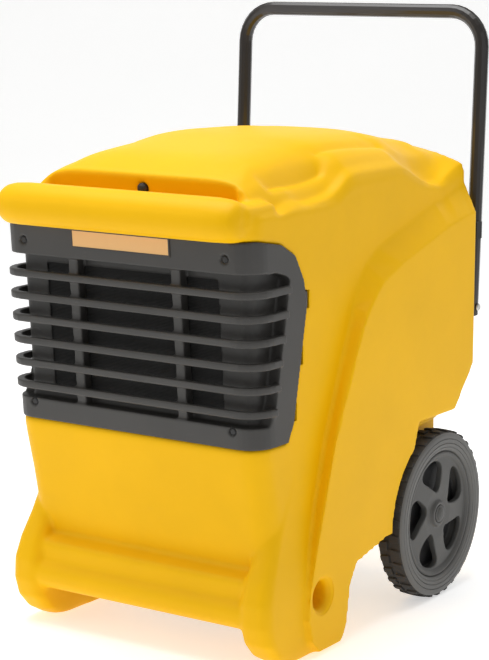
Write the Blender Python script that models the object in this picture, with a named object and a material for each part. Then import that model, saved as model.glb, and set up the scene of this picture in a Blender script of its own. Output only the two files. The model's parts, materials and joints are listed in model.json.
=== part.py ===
"""Commercial dehumidifier on two large wheels: a rotationally moulded shell around a refrigeration circuit.

The object's frame: +Z up, the wheels and feet stand on Z = 0, the intake grille looks along -Y, and the
origin is under the middle of the object's overall depth. Metres throughout.
"""

import math

import bmesh
import bpy
from mathutils import Matrix, Vector

GAP = 0.0003  # between touching pieces

# ---- overall sizes
BODY_WIDTH = 0.540  # over the proud side panels
BODY_LENGTH = 0.728  # front roll to rear face
BODY_TOP = 0.829  # crown of the lid
WALL = 0.006  # moulded wall

# ---- handle
TUBE_RADIUS = 0.0125
TUBE_WALL = 0.0015
HANDLE_TOP = 1.0365
HANDLE_SPAN = 0.504  # between leg centres
HANDLE_CORNER = 0.062  # bend radius of the centre line
HANDLE_LEAN = 0.044  # rearward travel per metre of height
HANDLE_CLEAR = 0.003  # leg to rear face, at the pivot
PIVOT_Z = 0.500
LEG_BELOW_PIVOT = 0.013
PIVOT_BOLT_RADIUS = 0.004
RELIEF_DEEP = 0.0048  # pockets behind the legs, where their ends swing through
RELIEF_HALF = 0.019

# ---- wheels
WHEEL_RADIUS = 0.150
TYRE_WIDTH = 0.050
TYRE_PROUD = 0.0085  # past the side panels
RIM_RADIUS = 0.112
AXLE_RADIUS = 0.008
WHEEL_FROM_REAR = 0.128
ARCH_CLEAR = 0.010
SPOKES = 5
WHEEL_STEPS = 32

# ---- shell features
PANEL_PROUD = 0.025
CORNER_X = 0.036  # the front corners are quarter ellipses in plan
CORNER_Y = 0.042
ROLL_RADIUS = 0.037
ROLL_Z = 0.725
ROLL_HALF = 0.236
SHOULDER_Z = 0.732
SHELL_FRONT = 0.0385  # shell's front face behind the roll's front, at the top of the grille
LEAN = 0.078  # the grille plane moves back this much per metre going down
BELLY_Z = 0.128
FOOT_INNER = 0.066  # width of a foot
SOCKET_RADIUS = 0.023
SOCKET_DEPTH = 0.045
RECESS_WIDTH = 0.370
RECESS_DEPTH = 0.062
REAR_OPENING_WIDTH = 0.380
REAR_OPENING_LOW = 0.290
REAR_OPENING_HIGH = 0.725

# ---- grille
GRILLE_TOP = 0.694
GRILLE_BOTTOM = 0.365
GRILLE_PROUD = 0.003
GRILLE_THICK = 0.012
TUB_INSET = 0.022
TUB_WALL = 0.003
TOP_BAND = 0.050
BOTTOM_BAND = 0.036
EDGE_BACK = 0.117  # the frame's rear edge behind the front face, at its foot
EDGE_SLOPE = 0.20
EDGE_BAND = 0.060
WINDOW_LOW = GRILLE_BOTTOM + BOTTOM_BAND
WINDOW_HIGH = GRILLE_TOP - TOP_BAND
SLATS = 6
SLAT_PITCH = 0.0378
SLAT_TOP_Z = 0.6115
SLAT_THICK = 0.012
SLAT_PROUD = 0.006
CLIPS = (0.5875, 0.499, 0.411)  # heights of the clips on the frame's rear edges
CLIP_REACH = 0.007
CLIP_HALF = 0.0135
STILE_X = 0.1015
STILE_WIDTH = 0.018
WINDOW_HALF = 0.170
SCREW_X = 0.199
SCREW_INSET = 0.027
BADGE = (0.195, 0.031, 0.0012)

# ---- derived places
DEPTH = BODY_LENGTH + HANDLE_CLEAR + 2 * TUBE_RADIUS + HANDLE_LEAN * (HANDLE_TOP - TUBE_RADIUS - PIVOT_Z)
FRONT = -DEPTH / 2
REAR = FRONT + BODY_LENGTH
HALF = BODY_WIDTH / 2
CORE = HALF - PANEL_PROUD
LEG_Y = REAR + HANDLE_CLEAR + TUBE_RADIUS
SHELL_Y = FRONT + SHELL_FRONT
WHEEL_Y = REAR - WHEEL_FROM_REAR
TYRE_OUT = HALF + TYRE_PROUD
TYRE_IN = TYRE_OUT - TYRE_WIDTH
WELL_X = TYRE_IN - 0.012
ARCH = WHEEL_RADIUS + ARCH_CLEAR
BASE_Z = WHEEL_RADIUS + 0.020

MANIFOLD_PIECES = ("housing_shell", "evaporator_coil", "condenser_coil", "wheel_")

YELLOW = (0.86, 0.50, 0.01)
DARK = (0.060, 0.057, 0.054)
BLACK = (0.018, 0.018, 0.018)
GREY = (0.115, 0.115, 0.110)
STEEL = (0.55, 0.55, 0.56)
ZINC = (0.42, 0.43, 0.44)
COPPER = (0.72, 0.33, 0.18)
ALUMINIUM = (0.66, 0.67, 0.68)
LABEL = (0.93, 0.66, 0.33)

for old in list(bpy.data.objects):
    bpy.data.objects.remove(old)
PARTS = bpy.data.collections.new("dehumidifier")
TOOLS = bpy.data.collections.new("cutters")
for group in (PARTS, TOOLS):
    bpy.context.scene.collection.children.link(group)


# ---- shapes
def material(name, colour, roughness, metallic):
    made = bpy.data.materials.new(name)
    made.use_nodes = True
    shader = made.node_tree.nodes["Principled BSDF"]
    shader.inputs["Base Color"].default_value = (*colour, 1.0)
    shader.inputs["Roughness"].default_value = roughness
    shader.inputs["Metallic"].default_value = metallic
    return made


def finish(piece, colour, roughness=0.5, metallic=0.0):
    """Files a finished piece under the object's collection with its own material."""
    move(piece, PARTS)
    piece.data.materials.clear()
    piece.data.materials.append(material(piece.name, colour, roughness, metallic))
    piece.data.shade_smooth()
    piece.data.set_sharp_from_angle(angle=math.radians(35))
    return piece


def move(piece, group):
    for held in list(piece.users_collection):
        held.objects.unlink(piece)
    group.objects.link(piece)


def new_object(name, bm):
    bmesh.ops.recalc_face_normals(bm, faces=bm.faces)
    mesh = bpy.data.meshes.new(name)
    bm.to_mesh(mesh)
    bm.free()
    piece = bpy.data.objects.new(name, mesh)
    PARTS.objects.link(piece)
    return piece


def box(name, low, high, bevel=0.0, segments=2):
    """A block between two corners, its edges rounded by bevel."""
    bm = bmesh.new()
    bmesh.ops.create_cube(bm, size=1.0)
    low, high = Vector(low), Vector(high)
    bmesh.ops.scale(bm, vec=high - low, verts=bm.verts)
    bmesh.ops.translate(bm, vec=(low + high) / 2, verts=bm.verts)
    if bevel:
        bmesh.ops.bevel(bm, geom=bm.edges[:], offset=bevel, segments=segments, profile=0.5, affect="EDGES")
    return new_object(name, bm)


def turned(name, profile, centre, axis, steps=32):
    """A solid of revolution: profile lists (radius, height), height along axis from centre."""
    bm = bmesh.new()
    points = [bm.verts.new((radius, 0, height)) for radius, height in profile]
    edges = [bm.edges.new(pair) for pair in zip(points, points[1:])]
    closed = profile[0][0] > 0 or profile[-1][0] > 0
    if closed:
        edges.append(bm.edges.new((points[-1], points[0])))
    bmesh.ops.spin(bm, geom=points + edges, axis=(0, 0, 1), cent=(0, 0, 0), angle=math.tau, steps=steps,
                   use_merge=True, use_duplicate=False)
    bmesh.ops.remove_doubles(bm, verts=bm.verts, dist=1e-6)
    turn = Vector((0, 0, 1)).rotation_difference(Vector(axis)).to_matrix().to_4x4()
    bmesh.ops.transform(bm, matrix=Matrix.Translation(centre) @ turn, verts=bm.verts)
    return new_object(name, bm)


def rod(name, radius, start, end, steps=24, bevel=0.0):
    """A cylinder from start to end, its rims chamfered by bevel."""
    start, end = Vector(start), Vector(end)
    length = (end - start).length
    profile = [(0, 0), (radius - bevel, 0)]
    if bevel:
        profile += [(radius, bevel), (radius, length - bevel)]
    else:
        profile.append((radius, 0))
        profile.pop(1)
        profile.append((radius, length))
    profile += [(radius - bevel, length)] if bevel else []
    profile.append((0, length))
    return turned(name, profile, start, end - start, steps)


def prism(name, outline, axis, low, high, bevel=0.0, segments=2):
    """An outline of pairs swept along an axis: X takes (y, z), Y takes (x, z), Z takes (x, y)."""
    place = {"X": lambda a, b, s: (s, a, b), "Y": lambda a, b, s: (a, s, b), "Z": lambda a, b,
             s: (a, b, s)}[axis]
    return loft(name, [[place(a, b, s) for a, b in outline] for s in (low, high)], bevel, segments)


def loft(name, loops, bevel=0.0, segments=2):
    """Skins loops of equal length and closes both ends; bevel rounds the rims of the two ends."""
    bm = bmesh.new()
    rings = [[bm.verts.new(p) for p in loop] for loop in loops]
    for here, there in zip(rings, rings[1:]):
        for i in range(len(here)):
            j = (i + 1) % len(here)
            bm.faces.new((here[i], here[j], there[j], there[i]))
    ends = [bm.faces.new(rings[0]), bm.faces.new(rings[-1])]
    if bevel:
        rims = list({edge for face in ends for edge in face.edges})
        bmesh.ops.recalc_face_normals(bm, faces=bm.faces)
        bmesh.ops.bevel(bm, geom=rims, offset=bevel, segments=segments, profile=0.5, affect="EDGES",
                        clamp_overlap=True)
    bm.normal_update()
    bmesh.ops.triangulate(bm, faces=[face for face in bm.faces if len(face.verts) > 4])
    return new_object(name, bm)


def tube(name, points, radius, resolution=3, cyclic=False):
    """A bar of round section along points."""
    curve = bpy.data.curves.new(name, "CURVE")
    curve.dimensions = "3D"
    curve.bevel_depth = radius
    curve.bevel_resolution = resolution
    curve.use_fill_caps = True
    spline = curve.splines.new("POLY")
    spline.points.add(len(points) - 1)
    spline.use_cyclic_u = cyclic
    for held, point in zip(spline.points, points):
        held.co = (*point, 1.0)
    guide = bpy.data.objects.new(name + "_route", curve)
    TOOLS.objects.link(guide)
    bpy.context.view_layer.update()
    mesh = bpy.data.meshes.new_from_object(guide.evaluated_get(bpy.context.evaluated_depsgraph_get()))
    bpy.data.objects.remove(guide)
    bm = bmesh.new()
    bm.from_mesh(mesh)
    bpy.data.meshes.remove(mesh)
    bmesh.ops.remove_doubles(bm, verts=bm.verts, dist=1e-5)
    bm.normal_update()
    bmesh.ops.triangulate(bm, faces=[face for face in bm.faces if len(face.verts) > 4])
    return new_object(name, bm)


def boolean(piece, tool, operation):
    """Adds a live Boolean and files its tool with the cutters."""
    modifier = piece.modifiers.new(tool.name, "BOOLEAN")
    if piece.name.startswith(MANIFOLD_PIECES):
        modifier.solver = "MANIFOLD"  # the exact solver drops whole bodies of these
    modifier.operation = operation
    modifier.object = tool
    tool.hide_render = True
    tool.display_type = "WIRE"
    if tool.name not in TOOLS.objects:
        move(tool, TOOLS)


def join(piece, *tools):
    for tool in tools:
        boolean(piece, tool, "UNION")
    return piece


def cut(piece, *tools):
    for tool in tools:
        boolean(piece, tool, "DIFFERENCE")
    return piece


def keep(piece, tool):
    boolean(piece, tool, "INTERSECT")
    return piece


def bend(corners, radius, steps=5):
    """Points along straight runs whose corners are arcs of a radius."""
    corners = [Vector(c) for c in corners]
    points = [corners[0]]
    for before, corner, after in zip(corners, corners[1:], corners[2:]):
        back, ahead = (before - corner).normalized(), (after - corner).normalized()
        half = back.angle(ahead) / 2
        reach = radius / math.tan(half)
        centre = corner + (back + ahead).normalized() * (radius / math.sin(half))
        first, last = corner + back * reach - centre, corner + ahead * reach - centre
        sweep = first.angle(last)
        for i in range(steps + 1):
            t = i / steps
            between = first * math.sin((1 - t) * sweep) + last * math.sin(t * sweep)
            points.append(centre + between / math.sin(sweep))
    points.append(corners[-1])
    return points


def arc(cx, cy, radius, start, end, steps):
    """Pairs on a circle between two angles in degrees."""
    turns = [math.radians(start + (end - start) * i / steps) for i in range(steps + 1)]
    return [(cx + radius * math.cos(turn), cy + radius * math.sin(turn)) for turn in turns]


def lean(piece):
    """Shears a piece so that its front follows the grille's slope."""
    for vertex in piece.data.vertices:
        vertex.co.y += LEAN * (GRILLE_TOP - vertex.co.z)
    return piece


def sides():
    """The two sides of the machine as a name and a sign."""
    return (("left", -1), ("right", 1))


# ---- the moulded shell
def front_plan(inset, y, steps=7, reach=None):
    """The front in plan from left to right, moved in by inset: flat, with elliptical corners.

    reach is how far back both sides run; without it they end with the corners.
    """
    deep = CORNER_Y - inset
    last = math.pi / 2
    if reach is not None and reach < y + CORNER_Y:
        last = math.acos((y + CORNER_Y - reach) / deep)
    half = []
    for i in range(steps + 1):
        angle = last * i / steps
        half.append((CORE - CORNER_X + (CORNER_X - inset) * math.sin(angle),
                     y + CORNER_Y - deep * math.cos(angle)))
    if reach is not None and reach > y + CORNER_Y:
        half.append((CORE - inset, reach))
    return [(-x, at) for x, at in reversed(half)] + half


def trunk(name, inset, levels):
    """The body below the lid: plan sections at levels of (height, front, rear)."""
    loops = []
    for z, y, rear in levels:
        front = front_plan(inset, y)
        radius = 0.03
        back = arc(CORE - inset - radius, rear - inset - radius, radius, 0, 90, 3)
        loop = front + back + [(-x, at) for x, at in reversed(back)]
        loops.append([(x, at, z) for x, at in loop])
    return loft(name, loops)


def lid(name, inset):
    """The crowned lid: cross-sections of (place, crown, shoulder, squareness), front to rear."""
    stations = (
        (FRONT + 0.092, BODY_TOP - 0.054, SHOULDER_Z, 9),
        (FRONT + 0.105, BODY_TOP - 0.041, SHOULDER_Z, 8),
        (FRONT + 0.170, BODY_TOP - 0.021, SHOULDER_Z + 0.006, 6),
        (FRONT + 0.282, BODY_TOP - 0.008, SHOULDER_Z + 0.014, 5),
        (FRONT + 0.338, BODY_TOP - 0.002, SHOULDER_Z + 0.043, 5),
        (REAR - 0.326, BODY_TOP, SHOULDER_Z + 0.044, 5),
        (REAR - 0.210, BODY_TOP - 0.002, SHOULDER_Z + 0.043, 4),
        (REAR - 0.152, BODY_TOP - 0.006, SHOULDER_Z + 0.018, 3),
        (REAR - 0.112, BODY_TOP - 0.010, SHOULDER_Z + 0.006, 3),
        (REAR - 0.070, BODY_TOP - 0.018, SHOULDER_Z + 0.012, 3),
        (REAR - 0.025, BODY_TOP - 0.030, SHOULDER_Z + 0.032, 3),
        (REAR - 0.004, BODY_TOP - 0.042, SHOULDER_Z + 0.036, 3),
    )
    rim = CORE - inset
    loops = []
    for y, crown, shoulder, power in stations:
        y += inset if y < 0 else -inset
        half = [(rim - 0.002, 0.60), (rim - 0.002, 0.69), (rim, shoulder - inset - 0.022),
                (rim - 0.006, shoulder - inset - 0.006)]
        edge = rim - 0.022
        for share in (1.0, 0.93, 0.84, 0.68, 0.45, 0.2):
            half.append((edge * share, shoulder - inset + (crown - shoulder) * (1 - share**power)))
        loop = half + [(-x, z) for x, z in reversed(half)]
        loops.append([(x, y, z) for x, z in loop])
    return loft(name, loops)


def side_panel(name, sign):
    """A proud panel with its foot: the outline where it leaves the core, and the smaller one on its face."""
    core = [
        (FRONT + 0.207, 0.003), (FRONT + 0.182, 0.030), (FRONT + 0.182, 0.067), (FRONT + 0.188, 0.112),
        (FRONT + 0.208, 0.199), (FRONT + 0.258, 0.352), (FRONT + 0.331, 0.525), (FRONT + 0.342, 0.556),
        (FRONT + 0.364, 0.597), (FRONT + 0.383, 0.620), (FRONT + 0.422, 0.643), (REAR - 0.225, 0.667),
        (REAR - 0.120, 0.696), (REAR, 0.724), (REAR, 0.405), (REAR - 0.070, 0.325), (REAR - 0.200, 0.325),
        (REAR - 0.260, BELLY_Z + 0.018), (REAR - 0.310, BELLY_Z + 0.018), (FRONT + 0.325, BELLY_Z - 0.003),
        (FRONT + 0.308, 0.097), (FRONT + 0.296, 0.030), (FRONT + 0.282, 0.007), (FRONT + 0.270, 0.003),
    ]
    face = [
        (FRONT + 0.207, 0.006), (FRONT + 0.184, 0.030), (FRONT + 0.171, 0.067), (FRONT + 0.177, 0.112),
        (FRONT + 0.203, 0.199), (FRONT + 0.253, 0.352), (FRONT + 0.333, 0.520), (FRONT + 0.350, 0.545),
        (FRONT + 0.376, 0.572), (FRONT + 0.400, 0.592), (FRONT + 0.460, 0.615), (REAR - 0.190, 0.637),
        (REAR - 0.110, 0.659), (REAR - 0.006, 0.678), (REAR - 0.006, 0.402), (REAR - 0.073, 0.328),
        (REAR - 0.200, 0.328), (REAR - 0.263, BELLY_Z + 0.022), (REAR - 0.310, BELLY_Z + 0.022),
        (FRONT + 0.322, BELLY_Z + 0.001), (FRONT + 0.302, 0.097), (FRONT + 0.291, 0.033),
            (FRONT + 0.278, 0.010),
        (FRONT + 0.268, 0.006),
    ]
    layers = ((HALF - FOOT_INNER + 0.002, core), (CORE, core), (HALF, face))
    return loft(name, [[(sign * x, y, z) for y, z in outline] for x, outline in layers])


def toe(name, sign):
    """A foot's front, which runs up into the pillar: levels of (height, front, inner X, outer X)."""
    levels = (
        (0.000, 0.150, 0.216, 0.250), (0.006, 0.122, 0.208, 0.258), (0.022, 0.094, 0.204, 0.261),
        (0.048, 0.071, 0.204, 0.262), (0.080, 0.061, 0.204, 0.262), (0.115, 0.062, 0.204, 0.261),
        (0.150, 0.074, 0.205, 0.257), (0.190, 0.096, 0.207, 0.251), (0.240, 0.122, 0.210, 0.247),
        (0.320, 0.160, 0.212, CORE),
    )
    radius = 0.019
    loops = []
    for z, front, low, high in levels:
        corner = min(radius, (high - low) / 2 - 0.001)
        outline = arc(low + corner, FRONT + front + corner, corner, 180, 270, 4)
        outline += arc(high - corner, FRONT + front + corner, corner, 270, 360, 4)
        outline += [(high, FRONT + 0.270), (low, FRONT + 0.270)]
        loops.append([(sign * x, y, z) for x, y in outline])
    return loft(name, loops)


def panel_hollow(side, sign):
    """The hollow behind a proud panel, clear of the wheel's arch."""
    outline = [(FRONT + 0.216, 0.160), (FRONT + 0.262, 0.340), (FRONT + 0.345, 0.512),
               (FRONT + 0.388, 0.572),
               (FRONT + 0.470, 0.603), (REAR - 0.110, 0.645), (REAR - 0.014, 0.664), (REAR - 0.014, 0.408),
               (REAR - 0.080, WHEEL_RADIUS + ARCH + 0.026)]
    outline += arc(WHEEL_Y, WHEEL_RADIUS, ARCH + 0.010, 90, 180, 8) + [(FRONT + 0.330, WHEEL_RADIUS)]
    return prism(f"panel_hollow_{side}", outline, "X", sign * (CORE - 0.020), sign * (HALF - WALL))


def wheel_well(name, sign):
    """The space around a wheel: an arch that runs out level behind its crown."""
    outline = arc(WHEEL_Y, WHEEL_RADIUS, ARCH, 90, 215, 14)
    outline += [(WHEEL_Y - ARCH, -0.05), (REAR + 0.06, -0.05), (REAR + 0.06, WHEEL_RADIUS + ARCH + 0.008)]
    outline.append((WHEEL_Y + 0.05, WHEEL_RADIUS + ARCH + 0.008))
    return prism(name, outline, "X", sign * WELL_X, sign * (HALF + 0.05))


def side_edge(z):
    """Where the grille's frame ends on the side of the body, at a height: the edge slopes."""
    return SHELL_Y + EDGE_BACK + EDGE_SLOPE * (z - GRILLE_BOTTOM)


def frame_outline(grow=0.0, window=0):
    """The grille seen from the side, round its rear edge; window gives the opening inside the frame."""
    top, bottom = GRILLE_TOP + grow, GRILLE_BOTTOM - grow
    drop = 0.032
    if window:
        top, bottom, drop = GRILLE_TOP - TOP_BAND + grow, GRILLE_BOTTOM + BOTTOM_BAND - grow, 0.004
    grow -= EDGE_BAND * window
    far = SHELL_Y - 0.10
    turn_z = top - drop - 0.068 * (1 - window) - 0.014
    back = side_edge(turn_z) + grow
    return [
        (far, top), (back - 0.135, top), (back - 0.075, top - drop * 0.33), (back - 0.035, top - drop),
        (back - 0.010, (top - drop + turn_z) / 2), (back, turn_z),
            (side_edge(bottom + 0.03) + grow, bottom + 0.03),
        (side_edge(bottom) + grow - 0.010, bottom), (far, bottom),
    ]


def plan_band(name, outer, inner, low, high, reach=SHELL_Y + 0.22):
    """A curved band of constant section: the front plan between two insets, from low to high."""
    outline = front_plan(outer, SHELL_Y, 7, reach) + list(reversed(front_plan(inner, SHELL_Y, 7, reach)))
    return lean(prism(name, outline, "Z", low, high))


def housing_shell():
    """The one-piece moulded shell, hollow, open at the front, the rear and underneath."""
    low_front = SHELL_Y + LEAN * (GRILLE_TOP - GRILLE_BOTTOM)
    top_front = SHELL_Y
    levels = (
        (BELLY_Z, SHELL_Y + 0.078, REAR - 0.046), (0.165, SHELL_Y + 0.070, REAR - 0.046),
        (0.20, SHELL_Y + 0.060, REAR - 0.046), (0.27, low_front + 0.020, REAR - 0.046),
        (0.330, low_front + 0.005, REAR - 0.046), (GRILLE_BOTTOM - 0.012, low_front, REAR - 0.030),
        (0.405, SHELL_Y + LEAN * (GRILLE_TOP - 0.405), REAR - 0.001), (GRILLE_TOP, top_front, REAR - 0.001),
        (GRILLE_TOP + 0.010, top_front - 0.006, REAR - 0.001),
            (SHOULDER_Z - 0.010, top_front - 0.006, REAR - 0.001),
        (SHOULDER_Z - 0.003, top_front - 0.001, REAR - 0.004),
    )
    shell = trunk("housing_shell", 0.0, levels)
    end = [(0, 0), (0.014, 0), (0.024, 0.003), (0.031, 0.010), (0.035, 0.024), (ROLL_RADIUS, 0.050)]
    profile = end + [(radius, 2 * ROLL_HALF - along) for radius, along in reversed(end)]
    roll = turned("front_roll", profile, (-ROLL_HALF, FRONT + ROLL_RADIUS, ROLL_Z), (1, 0, 0), 24)
    join(shell, lid("lid", 0.0), roll)
    for side, sign in sides():
        near, far = sorted((sign * (RECESS_WIDTH / 2 + 0.004), sign * (CORE - 0.005)))
        join(shell, box(f"cheek_{side}", (near, FRONT + 0.033, GRILLE_TOP + 0.010),
                        (far, FRONT + 0.130, 0.750), 0.014))
        join(shell, side_panel(f"side_panel_{side}", sign))
        join(shell, toe(f"toe_{side}", sign))
    inner = HALF - FOOT_INNER + 0.02
    shelf = [(0.135, 0.172), (0.112, 0.158), (0.084, 0.148), (0.080, 0.140), (0.080, 0.110), (0.135, 0.100)]
    join(shell, prism("shelf", [(FRONT + d, z) for d, z in shelf], "X", -inner, inner))
    join(shell, rod("low_roll", 0.027, (-inner, FRONT + 0.092, 0.092), (inner, FRONT + 0.092, 0.092), 20))
    hollow_levels = (
        (BELLY_Z + WALL, SHELL_Y + 0.090, REAR - 0.046 - WALL),
            (0.20, SHELL_Y + 0.082, REAR - 0.046 - WALL),
        (0.30, low_front + 0.030, REAR - 0.046 - WALL), (0.385, low_front + 0.030, REAR - 0.046 - WALL),
        (0.415, SHELL_Y + LEAN * (GRILLE_TOP - 0.415) + 0.028, REAR - WALL),
        (0.640, SHELL_Y + LEAN * (GRILLE_TOP - 0.640) + 0.028, REAR - WALL),
        (0.655, FRONT + 0.118, REAR - WALL), (SHOULDER_Z - 0.02, FRONT + 0.118, REAR - WALL),
    )
    hollow = trunk("hollow", WALL, hollow_levels)
    attic = lid("attic", WALL)
    attic_front = box("attic_front", (-HALF, FRONT, 0.5), (HALF, FRONT + 0.126, 1.0))
    cut(attic, attic_front)
    cut(shell, hollow, attic)
    for side, sign in sides():
        cut(shell, panel_hollow(side, sign))
    for side, sign in sides():
        well = wheel_well(f"well_{side}", sign)
        lining = [(WHEEL_Y - 0.20, -0.05), (WHEEL_Y - 0.20, WHEEL_RADIUS + 0.10),
                  (WHEEL_Y - 0.10, WHEEL_RADIUS + 0.20), (REAR + 0.06, WHEEL_RADIUS + 0.20),
                      (REAR + 0.06, -0.05)]
        wall = prism(f"well_wall_{side}", lining, "X", sign * (WELL_X - WALL), sign * (CORE - 0.002))
        filled = trunk(f"well_fill_{side}", 0.001, levels)
        join(shell, keep(wall, filled))
        cut(shell, well)
    pocket = plan_band("grille_pocket", -0.05, GRILLE_THICK - GRILLE_PROUD + GAP, 0.30, 0.75)
    keep(pocket, prism("pocket_outline", frame_outline(GAP), "X", -HALF, HALF))
    tub_depth = TUB_INSET + TUB_WALL - GRILLE_PROUD + GAP
    deep = plan_band("tub_pocket", -0.05, tub_depth, 0.30, 0.75)
    keep(deep, prism("tub_outline", frame_outline(TUB_WALL + GAP, 1), "X", -HALF, HALF))
    window = box("window", (-WINDOW_HALF - 0.016, SHELL_Y - 0.05, 0.415),
                 (WINDOW_HALF + 0.016, SHELL_Y + 0.10, 0.640))
    cut(shell, pocket, deep, window)
    trough = [(0.051, 0.90), (0.070, 0.765), (2 * ROLL_RADIUS, ROLL_Z),
              (0.080, ROLL_Z + RECESS_DEPTH / 2 - 0.052),
              (0.100, ROLL_Z + RECESS_DEPTH / 2 - 0.052), (0.107, ROLL_Z), (0.0925, 0.78), (0.092, 0.90)]
    outline = [(FRONT + d, z) for d, z in trough]
    cut(shell, prism("hand_trough", outline, "X", -RECESS_WIDTH / 2, RECESS_WIDTH / 2, 0.006))
    rear = box("rear_opening", (-REAR_OPENING_WIDTH / 2, REAR - 0.06, REAR_OPENING_LOW + 0.12),
               (REAR_OPENING_WIDTH / 2, REAR + 0.05, REAR_OPENING_HIGH))
    rebate = box("rear_rebate", (-REAR_OPENING_WIDTH / 2 - 0.012, REAR - 0.003, REAR_OPENING_LOW + 0.108),
                 (REAR_OPENING_WIDTH / 2 + 0.012, REAR + 0.05, REAR_OPENING_HIGH + 0.012))
    under = box("under_opening", (-0.150, FRONT + 0.200, 0.05), (0.150, REAR - 0.080, BELLY_Z + 0.03))
    axle_way = rod("axle_way", AXLE_RADIUS + 2 * GAP, (-HALF, WHEEL_Y, WHEEL_RADIUS),
                   (HALF, WHEEL_Y, WHEEL_RADIUS))
    plug_hole = rod("plug_hole", 0.0085 + GAP, (0, FRONT + 0.080, 0.758), (0, FRONT + 0.140, 0.758), 20)
    spigot_way = rod("spigot_way", 0.0080 + GAP, (SPIGOT_X, REAR - 0.08, SPIGOT_Z),
                     (SPIGOT_X, REAR, SPIGOT_Z), 16)
    cut(shell, rear, rebate, under, axle_way, plug_hole, spigot_way)
    for side, sign in sides():
        face = SOCKET_RADIUS + 0.008
        profile = [(0, -0.010), (face + 0.010, -0.010), (face, 0), (SOCKET_RADIUS, 0.010),
                   (SOCKET_RADIUS - 0.002, SOCKET_DEPTH), (0, SOCKET_DEPTH)]
        cut(shell, turned(f"foot_socket_{side}", profile, (sign * HALF, FRONT + 0.216, 0.100),
                          (-sign, 0, 0), 28))
        near, far = sorted((sign * (HANDLE_SPAN / 2 - TUBE_RADIUS - 0.0007),
                            sign * (HANDLE_SPAN / 2 + TUBE_RADIUS + 0.001)))
        relief = box(f"leg_relief_{side}", (near, REAR - RELIEF_DEEP, PIVOT_Z - RELIEF_HALF),
                     (far, REAR + 0.02, PIVOT_Z + RELIEF_HALF))
        cut(shell, relief)
        for z in CLIPS:
            cut(shell, clip(f"clip_slot_{side}_{z}", sign, z, GAP))
    for x, z in screw_places():
        y = SHELL_Y + LEAN * (GRILLE_TOP - z)
        cut(shell, rod(f"screw_way_{x}_{z}", 0.0025, (x, y - 0.01, z), (x, y + 0.026, z), 12))
    return finish(shell, YELLOW, 0.42)


def clip(name, sign, z, grow):
    """A clip on the frame's rear edge; grow gives the slot for it in the shell."""
    back = side_edge(z)
    low = (sign * (CORE - 0.0075 - grow), back - 0.006, z - CLIP_HALF - grow)
    high = (sign * (CORE - 0.0015 + 40 * grow), back + CLIP_REACH + grow, z + CLIP_HALF + grow)
    return box(name, [min(a, b) for a, b in zip(low, high)], [max(a, b) for a, b in zip(low, high)])


def screw_places():
    return [(sign * SCREW_X, z) for z in (GRILLE_TOP - SCREW_INSET, GRILLE_BOTTOM + SCREW_INSET + 0.002)
            for sign in (-1, 1)]


# ---- the intake
def front_grille():
    """Wrap-around grille: a frame, a recessed tub with the air window, six slats and two stiles."""
    outer, inner = -GRILLE_PROUD, GRILLE_THICK - GRILLE_PROUD
    deep = TUB_INSET - GRILLE_PROUD
    grille = plan_band("front_grille", outer, inner, 0.30, 0.75)
    keep(grille, prism("grille_outline", frame_outline(), "X", -HALF, HALF))
    tub = plan_band("tub", outer + 0.004, deep + TUB_WALL, 0.30, 0.75)
    keep(tub, prism("tub_outer", frame_outline(TUB_WALL, 1), "X", -HALF, HALF))
    space = plan_band("tub_space", -0.05, deep, 0.30, 0.75)
    keep(space, prism("tub_inner", frame_outline(0, 1), "X", -HALF, HALF))
    air = box("air_window", (-WINDOW_HALF, SHELL_Y - 0.05, 0.420), (WINDOW_HALF, SHELL_Y + 0.10, 0.630))
    join(grille, tub)
    cut(grille, space, air)
    for number in range(SLATS):
        z = SLAT_TOP_Z - SLAT_PITCH * number
        half = SLAT_THICK / 2
        reach = side_edge(z) - EDGE_BAND - LEAN * (GRILLE_TOP - z) + 0.001
        slat = plan_band(f"slat_{number + 1}", -GRILLE_PROUD - SLAT_PROUD, 0.004, z - half, z + half, reach)
        join(grille, slat)
    for side, sign in sides():
        low, high = sign * STILE_X - STILE_WIDTH / 2, sign * STILE_X + STILE_WIDTH / 2
        stile = box(f"stile_{side}", (low, SHELL_Y + 0.001, WINDOW_LOW - 0.002),
                    (high, SHELL_Y + deep + 0.001, WINDOW_HIGH + 0.002))
        join(grille, lean(stile))
    for side, sign in sides():
        for z in CLIPS:
            join(grille, clip(f"clip_{side}_{z}", sign, z, 0.0))
    for x, z in screw_places():
        y = SHELL_Y + LEAN * (GRILLE_TOP - z)
        cut(grille, rod(f"screw_seat_{x}_{z}", 0.0075, (x, y - 0.02, z), (x, y + 0.002, z), 16))
        cut(grille, rod(f"screw_hole_{x}_{z}", 0.0028, (x, y - 0.02, z), (x, y + 0.02, z), 12))
    return finish(grille, DARK, 0.45)


def grille_fixings():
    """Four pan-head screws, the blank badge plate and the plug behind the front roll."""
    for number, (x, z) in enumerate(screw_places(), 1):
        y = SHELL_Y + LEAN * (GRILLE_TOP - z) + 0.002 - GAP
        profile = [(0, 0.0035), (0.004, 0.0033), (0.0062, 0.0012), (0.0064, 0), (0.0022, 0),
                   (0.0022, -0.016),
                   (0, -0.018)]
        finish(turned(f"grille_screw_{number}", profile, (x, y, z), (0, -1, 0), 16), BLACK, 0.35, 0.6)
    width, height, thick = BADGE
    top = GRILLE_TOP - 0.0165 + height / 2
    y = SHELL_Y - GRILLE_PROUD - GAP
    badge = box("badge_plate", (-width / 2, y - thick, top - height), (width / 2, y, top), 0.0003, 1)
    finish(lean(badge), LABEL, 0.4)
    profile = [(0, 0.004), (0.005, 0.0035), (0.0085, 0.001), (0.0085, -0.010), (0, -0.010)]
    finish(turned("recess_plug", profile, (0, FRONT + 0.096, 0.758), (0, -1, 0), 20), BLACK, 0.5)


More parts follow.
